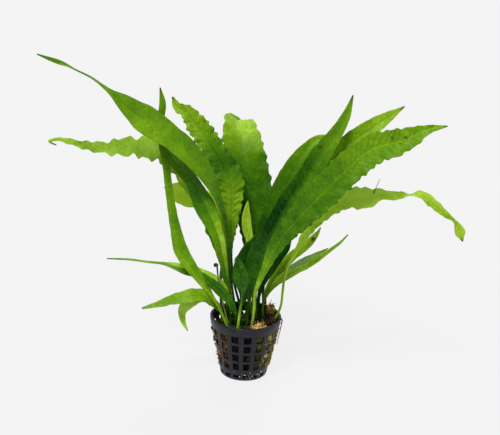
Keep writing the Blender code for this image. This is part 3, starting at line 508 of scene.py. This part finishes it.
def blade_heights(name, frond, along, width, blade, u):
    """The places across a blade, and the heights of its upper and lower side there."""
    look = frond.look
    half = (width / 2)[:, None]
    size = np.minimum(half / 8, 1)
    fold = half * (np.sqrt(u**2 + 0.01) - 0.1) * math.tan(math.radians(frond.fold))
    ruffle = look.ruffle * size * np.abs(u)**2.2 * at_margins(name, ("left", "right"), along, look.wave, u)
    ridges = np.sin(math.tau * (along[:, None] - VEIN_SLANT * np.abs(u) * half) / VEIN_SPACING)
    ridges = ridges * look.ridges * size * 4 * np.abs(u) * (1.1 - np.abs(u))
    rise = (fold + ruffle + ridges) * blade
    lobes = at_margins(name, ("in", "out"), along, look.wave * 0.6, u) * np.abs(u) * blade
    place_across = u * half * (1 + look.lobes * lobes)
    thin = (EDGE_THICKNESS + (BLADE_THICKNESS - EDGE_THICKNESS) * (1 - u**4)) / 2
    share = (along / along[-1])[:, None]
    rib = RIB_DEPTH * (1 - 0.8 * share) * np.exp(-(place_across / RIB_HALF_WIDTH)**2)
    taper = np.clip(width / STIPE_WIDTH, 0, 1)[:, None]
    round_half = STIPE_THICKNESS / 2 * taper * np.sqrt(np.clip(1 - u**2, 0.01, 1))
    top = rise + thin * blade + round_half * (1 - blade) + rib * 0.15 * blade
    bottom = rise - (thin + rib) * blade - round_half * (1 - blade)
    return place_across, top, bottom


def make_frond(name, frond, material):
    """A thin leathery blade with waved margins, ridges and a midrib, on a stout stipe."""
    rows = smooth_rows([(*row, 0)[:5] for row in frond.route], FINE_STEP)
    places, across, upward = blade_frames(rows, np.array(frond.face, float))
    foot = unit(places[0] - places[1])
    places = np.vstack([places[0] + foot * FOOT_DEPTH, places[1:]])
    along = np.concatenate([[0], np.cumsum(np.linalg.norm(np.diff(places, axis=0), axis=1))])
    width = np.maximum(rows[:, 3], LEAST_WIDTH)
    blade = np.clip((rows[:, 3] - STIPE_WIDTH) / STIPE_WIDTH, 0, 1)[:, None]
    u = np.linspace(-1, 1, ACROSS_STEPS + 1)[None, :]
    place_across, top, bottom = blade_heights(name, frond, along, width, blade, u)

    def surface(height):
        """The points of a side of the blade, from their heights."""
        return places[:, None, :] + across[:, None, :] * place_across[:, :, None] \
            + upward[:, None, :] * height[:, :, None]

    rings = np.concatenate([surface(top), surface(bottom)[:, ::-1]], axis=1)
    piece = finish_piece(
        name + "_fine", rings.reshape(-1, 3), ring_faces(*rings.shape[:2]), material,
        (name,))
    colour_frond(piece.data, name, frond.look, along, u, place_across, blade)


def spread(values, share):
    """A value, or several spread evenly from the foot to the tip, read at each share."""
    values = np.atleast_1d(values)
    return np.interp(share, np.linspace(0, 1, len(values)), values)[:, None]


def colour_frond(mesh, name, look, along, u, place_across, blade):
    """The values that the leaf's material reads at each point, on both sides of the blade."""
    share = along / along[-1]
    # The tone holds the leaf's own green together with painted shade and light from the frond's look.
    tone = spread(look.tone, share) + 0.06 * wander(along, 60, name + " tone")[:, None] + 0 * u
    # halves: painted shade and painted light on one half of the blade, from left and right.
    halves = np.where(u < 0, spread(look.left, share), spread(look.right, share))
    tone = tone + halves * np.clip(np.abs(u) * 4, 0, 1) * blade
    yellow = spread(look.yellow, share) + 0 * u
    brown = np.clip((share[:, None] - 1 + look.tip) / max(look.tip, 0.001), 0, 1) + 0 * u
    for spot_share, spot_across, radius in look.spots:
        nearest = np.argmin(np.abs(share - spot_share))
        spot = place_across[nearest, np.argmin(np.abs(u[0] - spot_across))]
        distance = np.hypot(along[:, None] - along[nearest], place_across - spot)
        brown = np.maximum(brown, np.clip(1.6 - distance / radius, 0, 1))
    layers = {
        "tone": tone, "yellow": yellow, "brown": brown, "rib": look.rib + 0 * tone,
        "leaf_along": along[:, None] + 0 * u, "leaf_across": place_across}
    for key, values in layers.items():
        both_sides = np.concatenate([values, values[:, ::-1]], axis=1)
        attribute = mesh.attributes.new(key, "FLOAT", "POINT")
        attribute.data.foreach_set("value", both_sides.astype(np.float32).ravel())


# Materials

def new_material(name, roughness, specular=0.5):
    """A material, its node tree and its Principled shader."""
    material = bpy.data.materials.new(name)
    material.use_nodes = True
    tree = material.node_tree
    shader = tree.nodes["Principled BSDF"]
    shader.inputs["Roughness"].default_value = roughness
    shader.inputs["Specular IOR Level"].default_value = specular
    return material, tree, shader


def node(tree, kind, settings=None, **inputs):
    """A node with its settings, and its inputs as numbers or as other nodes' outputs."""
    made = tree.nodes.new(kind)
    for key, value in (settings or {}).items():
        setattr(made, key, value)
    for key, value in inputs.items():
        socket = made.inputs[int(key[1:])] if key[0] == "i" and key[1:].isdigit() else made.inputs[key]
        if isinstance(value, bpy.types.NodeSocket):
            tree.links.new(value, socket)
        else:
            socket.default_value = value
    return made


def maths(tree, operation, a, b=0.0, clamp=False):
    """The output of a Math node."""
    return node(tree, "ShaderNodeMath", {"operation": operation, "use_clamp": clamp}, i0=a, i1=b).outputs[0]


def mix_colour(tree, share, a, b):
    """A colour between two, by a share."""
    return node(tree, "ShaderNodeMix", {"data_type": "RGBA"}, i0=share, i6=a, i7=b).outputs[2]


def ramp(tree, value, stops):
    """Colours along a value, as (place, colour) stops."""
    made = node(tree, "ShaderNodeValToRGB", Fac=value)
    elements = made.color_ramp.elements
    while len(elements) < len(stops):
        elements.new(1)
    for element, (place, colour) in zip(elements, stops):
        element.position = place
        element.color = (*colour, 1)
    return made.outputs["Color"]


def cloudy(tree, scale, detail=4.0):
    """A noise over the object, scale being waves to a metre."""
    place = node(tree, "ShaderNodeTexCoord").outputs["Object"]
    return node(tree, "ShaderNodeTexNoise", Vector=place, Scale=scale, Detail=detail).outputs[0]


def mottle(tree, scale, amount):
    """A noise around nought, amount being its range."""
    return maths(tree, "MULTIPLY", maths(tree, "SUBTRACT", cloudy(tree, scale), 0.5), amount)


def line(tree, distance, half_width):
    """1 on a line, fading to nought at its edge."""
    return maths(tree, "SUBTRACT", 1.0, maths(tree, "DIVIDE", distance, half_width), clamp=True)


def place_along(tree, axis):
    """How far along an axis a point of the object is, in metres."""
    place = node(tree, "ShaderNodeTexCoord").outputs["Object"]
    return node(tree, "ShaderNodeSeparateXYZ", Vector=place).outputs[axis]


def mix_in(tree, shader, other, share):
    """The surface mixes a share of another shader into the first."""
    both = node(tree, "ShaderNodeMixShader", i0=share, i1=shader.outputs[0], i2=other.outputs[0])
    tree.links.new(both.outputs[0], tree.nodes["Material Output"].inputs["Surface"])


def bump(tree, shader, height, distance, strength=1.0):
    """Fine relief, distance in mm."""
    made = node(tree, "ShaderNodeBump", Height=height, Distance=distance * MM, Strength=strength)
    tree.links.new(made.outputs["Normal"], shader.inputs["Normal"])
    return made.outputs["Normal"]


def leaf_value(tree, name):
    """A value that the frond's mesh holds for each point."""
    return node(tree, "ShaderNodeAttribute", {"attribute_name": name}).outputs["Fac"]


def leaf_material(slot, translucency):
    """A leathery leaf: mottled green with paler side veins, a network between them, and a midrib."""
    material, tree, shader = new_material(slot, 0.36, 0.13)
    along = leaf_value(tree, "leaf_along")
    across = leaf_value(tree, "leaf_across")
    distance = maths(tree, "ABSOLUTE", across)
    slanted = maths(tree, "SUBTRACT", along, maths(tree, "MULTIPLY", distance, VEIN_SLANT))
    wave = maths(tree, "PINGPONG", slanted, VEIN_SPACING / 2)
    vein = line(tree, wave, 0.45)
    place = node(tree, "ShaderNodeCombineXYZ", X=along, Y=across).outputs[0]
    cells = node(tree, "ShaderNodeTexVoronoi", {"feature": "DISTANCE_TO_EDGE"}, Vector=place, Scale=0.55)
    net = maths(tree, "SUBTRACT", 1.0, maths(tree, "MULTIPLY", cells.outputs["Distance"], 6.0), clamp=True)
    midrib = line(tree, distance, 0.8)
    mottles = maths(tree, "ADD", mottle(tree, 110.0, 0.45), mottle(tree, 420.0, 0.3))
    tone = maths(tree, "ADD", leaf_value(tree, "tone"), mottles)
    tone = maths(tree, "ADD", tone, maths(tree, "MULTIPLY", vein, 0.1))
    tone = maths(tree, "SUBTRACT", tone, maths(tree, "MULTIPLY", net, 0.08))
    tone = maths(tree, "ADD", tone, maths(tree, "MULTIPLY", midrib, leaf_value(tree, "rib")), clamp=True)
    colour = ramp(tree, tone, LEAF_TONES)
    colour = mix_colour(tree, leaf_value(tree, "yellow"), colour, LEAF_YELLOW)
    brown = maths(tree, "MULTIPLY", leaf_value(tree, "brown"), 0.92)
    colour = mix_colour(tree, brown, colour, LEAF_BROWN)
    tree.links.new(colour, shader.inputs["Base Color"])
    relief = maths(tree, "ADD", maths(tree, "MULTIPLY", vein, 0.6), maths(tree, "MULTIPLY", net, 0.4))
    relief = maths(tree, "ADD", relief, cloudy(tree, 900.0, 2.0))
    normal = bump(tree, shader, relief, 0.18, 0.6)
    glow = node(tree, "ShaderNodeBsdfTranslucent", Color=colour, Normal=normal)
    mix_in(tree, shader, glow, translucency)
    return material


def slot_shades(slot, places, shades):
    """A ramp's stops: shades of a slot's colour, each at its place."""
    base = np.array(SLOT_COLOURS[slot])
    return [(place, tuple(base * shade)) for place, shade in zip(places, shades)]


def plain_material(slot, roughness, scale, shades, relief):
    """A mottled material of three shades of a slot's colour: scale in waves to a metre, relief in mm."""
    material, tree, shader = new_material(slot, roughness, 0.1)
    stops = slot_shades(slot, (0.3, 0.5, 0.72), shades)
    tree.links.new(ramp(tree, cloudy(tree, scale), stops), shader.inputs["Base Color"])
    bump(tree, shader, cloudy(tree, scale * 6), relief, 0.7)
    return material


def plastic_material():
    """Dark blue-grey moulded plastic, satin and a little scuffed."""
    material, tree, shader = new_material("pot_plastic", 0.4, 0.25)
    scuffs = cloudy(tree, 260.0, 6.0)
    stops = slot_shades("pot_plastic", (0.35, 0.6, 0.8), (0.25, 0.38, 0.8))
    tree.links.new(ramp(tree, scuffs, stops), shader.inputs["Base Color"])
    roughness = maths(tree, "ADD", maths(tree, "MULTIPLY", scuffs, 0.3), 0.24)
    tree.links.new(roughness, shader.inputs["Roughness"])
    bump(tree, shader, cloudy(tree, 2200.0, 2.0), 0.03, 0.5)
    return material


def speck_material():
    """Whitish crumbs of lime."""
    material, tree, shader = new_material("speck", 0.8)
    pale = ramp(tree, cloudy(tree, 900.0), ((0.3, (0.2, 0.15, 0.09)), (0.6, (0.6, 0.54, 0.42))))
    tree.links.new(pale, shader.inputs["Base Color"])
    return material


def young_material():
    """An olive stem that turns nearly black toward its coil."""
    material, tree, shader = new_material("young_frond", 0.5)
    share = maths(tree, "DIVIDE", place_along(tree, "Z"), (YOUNG_FROND[-1][2] + COIL_RADIUS) * MM)
    colour = ramp(tree, share, (
        (0.45, (0.2, 0.3, 0.03)), (0.86, (0.16, 0.21, 0.03)), (0.94, (0.018, 0.018, 0.006))))
    tree.links.new(colour, shader.inputs["Base Color"])
    bump(tree, shader, cloudy(tree, 2400.0), 0.05, 0.7)
    return material


def wool_material():
    """Root-grown wool: rusty on the left, nearly black in the middle, olive-yellow on the right."""
    material, tree, shader = new_material("wool", 0.95, 0.05)
    across = maths(tree, "MULTIPLY", place_along(tree, "X"), 22.0)
    shift = maths(tree, "ADD", mottle(tree, 160.0, 0.55), 0.5)
    side = maths(tree, "ADD", across, shift, clamp=True)
    colour = ramp(tree, side, (
        (0, (0.06, 0.03, 0.01)), (0.14, (0.28, 0.13, 0.03)), (0.25, (0.016, 0.009, 0.01)),
        (0.6, (0.006, 0.005, 0.01)), (0.72, (0.09, 0.08, 0.014)), (0.88, (0.37, 0.32, 0.075)),
        (1, (0.24, 0.18, 0.05))))
    tree.links.new(colour, shader.inputs["Base Color"])
    bump(tree, shader, cloudy(tree, 1500.0), 0.3, 0.9)
    return material


# Pot

def window_rows():
    """(bottom, top) of each row of windows, from the lowest up."""
    rows = [(LOW_WINDOW_TOP - LOW_WINDOW_HEIGHT, LOW_WINDOW_TOP)]
    rows += [(top - WINDOW_HEIGHT, top) for top in reversed(WINDOW_TOPS)]
    return rows


def wall_radius(height):
    """Outer radius of the pot's wall at a height, below the rim band."""
    return BASE_RADIUS + (RIM_RADIUS - 2 * BAND_STEP - BASE_RADIUS) * height / RIM_BAND


def inner_radius(height):
    """Inner radius of the pot's wall at a height."""
    return wall_radius(height) - WALL


def column_middle(column):
    """The angle of a column's middle, round from the front to the right."""
    return FIRST_COLUMN + column * math.tau / COLUMNS


def around(angle, radius, height):
    """The point at an angle from the front, round to the right."""
    return radius * math.sin(angle), -radius * math.cos(angle), height


def column_angles():
    """Angles round the pot, each with whether the stretch after it is open."""
    angles = []
    for column in range(COLUMNS):
        start = column_middle(column) - WINDOW_ANGLE / 2
        end = column_middle(column) + WINDOW_ANGLE / 2
        following = column_middle(column + 1) - WINDOW_ANGLE / 2
        angles += [(start + (end - start) * i / OPEN_STEPS, True) for i in range(OPEN_STEPS)]
        angles += [(end + (following - end) * i / BAR_STEPS, False) for i in range(BAR_STEPS)]
    return angles


def pot_sheet():
    """The outside of the pot's wall and floor as one open sheet, with its holes left out."""
    angles = column_angles()
    levels = [(SLOT_INNER, 0), (SLOT_OUTER, 0), (BASE_RADIUS - BASE_INSET, 0)]
    heights = [BASE_RISE, *(height for row in window_rows() for height in row), RIM_BAND + BAND_LAP]
    levels += [(wall_radius(height), height) for height in heights]
    window_bottoms = [bottom for bottom, _ in window_rows()]
    bm = bmesh.new()
    rings = [
        [bm.verts.new([c * MM for c in around(angle, radius, height)]) for angle, _ in angles]
        for radius, height in levels]
    for level, (lower, upper) in enumerate(zip(rings, rings[1:])):
        for i, (_, is_open) in enumerate(angles):
            column = i // (OPEN_STEPS + BAR_STEPS)
            is_slot = level == 0 and column % 2 == 0
            is_window = levels[level][1] in window_bottoms
            if not (is_open and (is_slot or is_window)):
                j = (i + 1) % len(angles)
                bm.faces.new((lower[i], lower[j], upper[j], upper[i]))
    bm.faces.new(rings[0])
    bmesh.ops.recalc_face_normals(bm, faces=bm.faces)
    return bm


def make_pot(material):
    """The net pot: a lattice wall of one thickness, with softened edges and a rounded rim."""
    bm = pot_sheet()
    corners = [v for v in bm.verts if v.is_boundary and len(v.link_faces) == 3]
    bmesh.ops.bevel(
        bm, geom=corners, offset=WINDOW_CORNER * MM, segments=3, profile=0.5, affect="VERTICES")
    mesh = bpy.data.meshes.new("net_pot_fine")
    bm.to_mesh(mesh)
    bm.free()
    pot = add_object("net_pot_fine", mesh)
    thick = pot.modifiers.new("wall", "SOLIDIFY")
    thick.thickness = WALL * MM
    thick.offset = -1
    edges = pot.modifiers.new("edges", "BEVEL")
    edges.width = POT_EDGE * MM
    edges.segments = 2
    edges.angle_limit = math.radians(50)
    mesh.materials.append(material)
    mesh.shade_smooth()
    place_piece(pot, ("net_pot",))
    make_rim(material)


def make_rim(material):
    """The rim band, turned from a rounded profile."""
    inner = RIM_RADIUS - BAND_STEP - WALL
    outline = [
        (inner, RIM_BAND + 0.2), (inner, POT_HEIGHT - RIM_EDGE), (inner + 0.15, POT_HEIGHT - 0.12),
        (inner + RIM_EDGE, POT_HEIGHT), (RIM_RADIUS - RIM_EDGE, POT_HEIGHT),
        (RIM_RADIUS - 0.12, POT_HEIGHT - 0.15), (RIM_RADIUS, POT_HEIGHT - RIM_EDGE),
        (RIM_RADIUS - 0.1, POT_HEIGHT - 1.8), (RIM_RADIUS - BAND_STEP, RIM_BAND + 0.5),
        (RIM_RADIUS - BAND_STEP - 0.3, RIM_BAND + 0.05)]
    verts = [
        around(math.tau * i / RIM_STEPS, radius, height)
        for i in range(RIM_STEPS) for radius, height in outline]
    faces = ring_faces(RIM_STEPS, len(outline), is_loop=True)
    finish_piece("pot_rim", verts, faces, material)


# Wool, rhizomes, roots and litter

def lumpy_ball(centre, size, seed, subdivisions, roughness):
    """Points and faces of a torn, lumpy ball."""
    bm = bmesh.new()
    bmesh.ops.create_icosphere(bm, subdivisions=subdivisions, radius=1)
    offset = Vector((seed * 3.1, seed * 1.7, seed))
    verts = []
    for vert in bm.verts:
        lump = noise.noise(vert.co * 1.7 + offset) + 0.5 * noise.noise(vert.co * 5 + offset)
        grow = 0.9 + roughness * lump
        verts.append([c + s * v * grow for c, s, v in zip(centre, size, vert.co)])
    faces = [tuple(v.index for v in face.verts) for face in bm.faces]
    bm.free()
    return verts, faces


def make_wool(material):
    """The plug, a finely lumpy block that fills the pot."""
    sides, layers, rings = 120, 44, 14
    verts = []
    for layer in range(layers + 1):
        height = WOOL_BOTTOM + (WOOL_TOP - WOOL_BOTTOM) * layer / layers
        outer = inner_radius(height) - WOOL_GAP
        for i in range(sides):
            angle = math.tau * i / sides
            spot = Vector((outer * math.cos(angle), outer * math.sin(angle), height))
            dent = 0.7 * abs(noise.noise(spot / 5)) + 0.5 * abs(noise.noise(spot / 1.6))
            verts.append((spot.x * (1 - dent / outer), spot.y * (1 - dent / outer), height))
    top = inner_radius(WOOL_TOP) - WOOL_GAP
    for ring in range(1, rings + 1):
        radius = top * (1 - ring / (rings + 1))
        for i in range(sides):
            angle = math.tau * i / sides
            spot = Vector((radius * math.cos(angle), radius * math.sin(angle), 0))
            height = WOOL_TOP - 0.25 + 0.9 * noise.noise(spot / 4) * (1 - radius / top)
            verts.append((spot.x, spot.y, height))
    faces = ring_faces(layers + 1 + rings, sides)
    finish_piece("wool_plug_fine", verts, faces, material, ("wool_plug",))


def fibre(draw, start, heading, length, radius, keep):
    """A thin curling fibre, kept in place by a function of its points."""
    points = [np.array(start, float)]
    heading = np.array(heading, float)
    steps = len(FIBRE_TAPER) - 1
    for _ in range(steps):
        heading = unit(heading + np.array([draw.gauss(0, FIBRE_CURL) for _ in range(3)]))
        points.append(keep(points[-1] + heading * length / steps))
    return tube(points, [radius * share for share in FIBRE_TAPER], 3)


def inside_pot(point):
    """The point, drawn in so that it stays inside the pot's wall."""
    x, y, z = point
    z = max(z, WOOL_BOTTOM)
    most = inner_radius(min(z, RIM_BAND)) - 0.15
    radius = math.hypot(x, y)
    scale = min(1, most / radius) if radius else 1
    return np.array([x * scale, y * scale, z])


def above_wool(point):
    """The point, kept inside the pot and no deeper than just under the wool's top."""
    x, y, z = inside_pot(point)
    return np.array([x, y, max(z, WOOL_TOP - 0.2)])


def anywhere(draw, reach):
    """A random (x, y) within reach of the pot's axis."""
    angle = draw.uniform(0, math.tau)
    radius = reach * math.sqrt(draw.random())
    return radius * math.cos(angle), radius * math.sin(angle)


def make_wool_fibres(material):
    """Fibres matted over the plug's side and top."""
    draw = random.Random(11)
    shapes = []
    for _ in range(SIDE_FIBRES):
        angle = draw.uniform(0, math.tau)
        height = draw.uniform(WOOL_BOTTOM + 0.5, WOOL_TOP)
        radius = inner_radius(height) - WOOL_GAP
        start = inside_pot((radius * math.cos(angle), radius * math.sin(angle), height))
        turn = draw.choice((-1, 1))
        heading = (-math.sin(angle) * turn, math.cos(angle) * turn, draw.gauss(0, 0.7))
        shapes.append(fibre(draw, start, heading, draw.uniform(3, 8), FIBRE_RADIUS, inside_pot))
    for _ in range(TOP_FIBRES):
        start = (*anywhere(draw, TOP_REACH), WOOL_TOP)
        heading = (draw.gauss(0, 1), draw.gauss(0, 1), draw.uniform(-0.1, 0.35))
        shapes.append(fibre(draw, start, heading, draw.uniform(3, 7), FIBRE_RADIUS, inside_pot))
    join_piece("wool_fibres", shapes, material)


def near_wall(point):
    """The point, kept from just inside the pot's wall to a little outside it."""
    x, y, z = point
    z = min(max(z, WOOL_BOTTOM), RIM_BAND)
    radius = math.hypot(x, y)
    scale = min(max(radius, inner_radius(z)), wall_radius(z) + SHRED_REACH) / radius
    return np.array([x * scale, y * scale, z])


def make_loose_wool(material):
    """Wool that bulges from some windows at the pot's sides, and shreds of it over the ribs."""
    draw = random.Random(23)
    shapes = []
    for number in range(LOOSE_SHREDS):
        side = LOOSE_RIGHT if number % LEFT_SHRED_EVERY else LOOSE_LEFT
        angle = math.radians(draw.gauss(*side))
        height = draw.uniform(8, 39)
        start = around(angle, inner_radius(height), height)
        turn = draw.choice((-1, 1))
        heading = unit(np.array([
            math.sin(angle) * 0.6 + math.cos(angle) * turn,
            -math.cos(angle) * 0.6 + math.sin(angle) * turn, draw.gauss(0, 0.9)]))
        shapes.append(fibre(draw, start, heading, draw.uniform(2, 5), draw.uniform(0.12, 0.5), near_wall))
    for number, (column, row) in enumerate(WOOL_BULGES):
        height = WINDOW_TOPS[row] - WINDOW_HEIGHT / 2
        centre = around(column_middle(column), inner_radius(height), height)
        shapes.append(lumpy_ball(centre, BULGE_SIZE, number + 5, 4, 0.35))
    join_piece("loose_wool", shapes, material)


def make_tufts(material):
    """Torn lumps of yellow-tan wool with loose fibres."""
    for seed, (name, (centre, size)) in enumerate(TUFTS.items()):
        draw = random.Random(40 + seed)
        centre = np.array(centre) + (0, 0, TUFT_RISE)
        size = np.array(size) * TUFT_GROWTH
        shapes = [lumpy_ball(centre, size, seed + 2, 5, 0.5)]
        for number in range(TUFT_FIBRES):
            way = unit(np.array([draw.gauss(0, 1) for _ in range(3)]))
            start = centre + way * size * 0.75
            is_shred = number % SHRED_EVERY == 0
            radius = SHRED_RADIUS if is_shred else FIBRE_RADIUS
            length = draw.uniform(2.5, 6) if is_shred else draw.uniform(1, 3.5)
            shapes.append(fibre(draw, start, way, length, radius, above_wool))
        join_piece(name + "_fine", shapes, material, (name,))


def make_rhizomes(material, hair_material):
    """Knobbly creeping rhizomes with short dark hairs."""
    for seed, (name, route) in enumerate(RHIZOMES.items()):
        rows = smooth_rows([(x, y, RHIZOME_HEIGHT) for x, y in route], 0.6)
        share = np.linspace(0, 1, len(rows))
        ends = np.clip(np.minimum(share, 1 - share) * 7, 0, 1)
        radii = RHIZOME_RADIUS * (0.45 + 0.5 * np.sqrt(ends)) * (1 + 0.05 * wander(share, 0.16, name))
        join_piece(name + "_fine", [tube(rows, radii, 20)], material, (name,))
        draw = random.Random(70 + seed)
        shapes = []
        for _ in range(RHIZOME_HAIRS):
            spot = draw.randrange(1, len(rows) - 1)
            way = unit(np.array([draw.gauss(0, 1), draw.gauss(0, 1), draw.gauss(-0.3, 0.7)]))
            start = rows[spot] + way * radii[spot] * 0.85
            shapes.append(fibre(draw, start, way, draw.uniform(1, 4.5), HAIR_RADIUS, above_wool))
        join_piece(name + "_hairs", shapes, hair_material)


def make_roots(material):
    """The root that hangs over the rim, finer ones beside it, and a hair on the drooping leaf."""
    root = thread(ROOT, 0.7, ROOT_RADIUS, ROOT_RADIUS * 0.45, 8)
    join_piece("root_over_rim_fine", [root], material, ("root_over_rim",))
    shapes = []
    for shift, drop in FINE_ROOTS:
        route = [(21, -4 + shift, 38), (24.4, -6 + shift, 47.6), (27.6, -6.6 + shift, 47.1),
                 (27.4, -6.4 + shift, 47 - drop * 0.5), (27.2 - drop * 0.16, -6 + shift, 47 - drop)]
        shapes.append(thread(route, 0.8, 0.16, 0.08, 5))
    shapes.append(thread(LEAF_HAIR, 0.8, 0.3, 0.15, 5))
    join_piece("hair_roots", shapes, material)


def make_young_frond(material):
    """A thin stem whose tip is a tight tapered coil."""
    stem = smooth_rows(YOUNG_FROND, 0.8)
    centre = np.array(YOUNG_FROND[-1], float) + (-COIL_RADIUS + 0.65, 0, 0)
    turns = np.linspace(0, COIL_TURNS * math.tau, 60)
    radius = COIL_RADIUS * (1 - 0.85 * turns / turns[-1]) - 0.25
    coil = np.stack([
        centre[0] + radius * np.cos(turns), np.full(len(turns), centre[1]),
        centre[2] + radius * np.sin(turns)], axis=1)
    points = np.vstack([stem[:-1], coil])
    coil_radii = np.linspace(YOUNG_RADIUS, 0.3, len(coil))
    radii = np.concatenate([np.full(len(stem) - 1, YOUNG_RADIUS), coil_radii])
    join_piece(
        "young_frond_fine", [tube(points, radii, 10)], material, ("young_frond_coiled",))


def make_litter(material, pale_material):
    """Crumbs and shreds of dark litter on the wool, and pale specks low on the pot."""
    draw = random.Random(5)
    shapes = []
    for number in range(CRUMBS):
        x, y = anywhere(draw, CRUMB_REACH)
        size = draw.uniform(0.5, 1.3)
        centre = (x, y, WOOL_TOP + size * 0.35)
        shapes.append(lumpy_ball(centre, (size, size * 0.8, size * 0.5), number, 2, 0.3))
    for _ in range(LITTER_SHREDS):
        start = [draw.uniform(*span) for span in LITTER_BOX]
        heading = (draw.gauss(0, 1), draw.gauss(0, 1), draw.gauss(0.1, 0.4))
        shapes.append(fibre(draw, start, heading, draw.uniform(3, 9), draw.uniform(0.2, 0.5), above_wool))
    join_piece("litter_crumbs", shapes, material)
    shapes = []
    for number in range(PALE_SPECKS):
        angle = draw.gauss(0.3, 0.35)
        height = draw.uniform(2.4, 7.5)
        centre = around(angle, wall_radius(height) - 0.1, height)
        size = draw.uniform(0.3, 0.75)
        shapes.append(lumpy_ball(centre, (size, size * 0.7, size), number, 1, 0.5))
    join_piece("pale_specks", shapes, pale_material)


# Stage

def make_stage():
    """A wide pale floor with hardly any shadow, and soft light."""
    bpy.ops.mesh.primitive_circle_add(vertices=96, radius=FLOOR_RADIUS, fill_type="NGON")
    floor = bpy.context.object
    floor.name = "floor"
    material, tree, shader = new_material("floor", 0.9, 0.0)
    shader.inputs["Base Color"].default_value = (0.8, 0.8, 0.8, 1)
    shine = node(tree, "ShaderNodeEmission", Color=(1, 1, 1, 1), Strength=FLOOR_GLOW)
    mix_in(tree, shader, shine, GLOW_SHARE)
    floor.data.materials.append(material)
    world = bpy.data.worlds.new("studio")
    world.use_nodes = True
    background = world.node_tree.nodes["Background"]
    background.inputs["Color"].default_value = (1, 1, 1, 1)
    background.inputs["Strength"].default_value = WORLD_LIGHT
    bpy.context.scene.world = world
    for name, direction, strength, width in SUNS:
        light = bpy.data.lights.new(name, "SUN")
        light.energy = strength
        light.angle = math.radians(width)
        lamp = add_object(name, light)
        lamp.rotation_euler = Vector(direction).to_track_quat("-Z", "Y").to_euler()


def make_camera():
    """The photograph's view: a long lens, looking down and turned a little."""
    forward = Vector((0, math.cos(PITCH), -math.sin(PITCH)))
    level_up = Vector((0, math.sin(PITCH), math.cos(PITCH)))
    right = Vector((1, 0, 0)) * math.cos(CAMERA_ROLL) + level_up * math.sin(CAMERA_ROLL)
    up = right.cross(forward)
    turn = Matrix((right, up, -forward)).transposed()
    data = bpy.data.cameras.new("camera")
    data.lens = LENS
    data.clip_end = 100
    camera = add_object("camera", data)
    camera.location = EYE
    camera.rotation_euler = turn.to_euler()
    bpy.context.scene.camera = camera
    bpy.context.scene.view_settings.view_transform = "Standard"


def main():
    """Builds every piece, the stage and the camera."""
    leaf = {slot: leaf_material(slot, share) for slot, share in TRANSLUCENCY.items()}
    for name, frond in FRONDS.items():
        make_frond(name, frond, leaf[frond.look.slot])
    litter = plain_material("litter", 0.7, 400.0, (0.15, 0.45, 0.9), 0.2)
    root = plain_material("root", 0.7, 500.0, (0.5, 0.8, 1.5), 0.05)
    tan = plain_material("wool_tan", 0.95, 350.0, (0.4, 1.0, 2.0), 0.3)
    wool = wool_material()
    make_frond("dead_leaf", DEAD_LEAF, litter)
    make_pot(plastic_material())
    make_wool(wool)
    make_wool_fibres(wool)
    make_loose_wool(wool)
    make_tufts(tan)
    # The rhizomes' shades darken their brown far down: partly their own colour, partly painted shade for
    # the dark mouth of the pot.
    make_rhizomes(plain_material("rhizome", 0.6, 300.0, (0.1, 0.35, 0.8), 0.15), root)
    make_roots(root)
    make_young_frond(young_material())
    make_litter(litter, speck_material())
    make_stage()
    make_camera()


main()
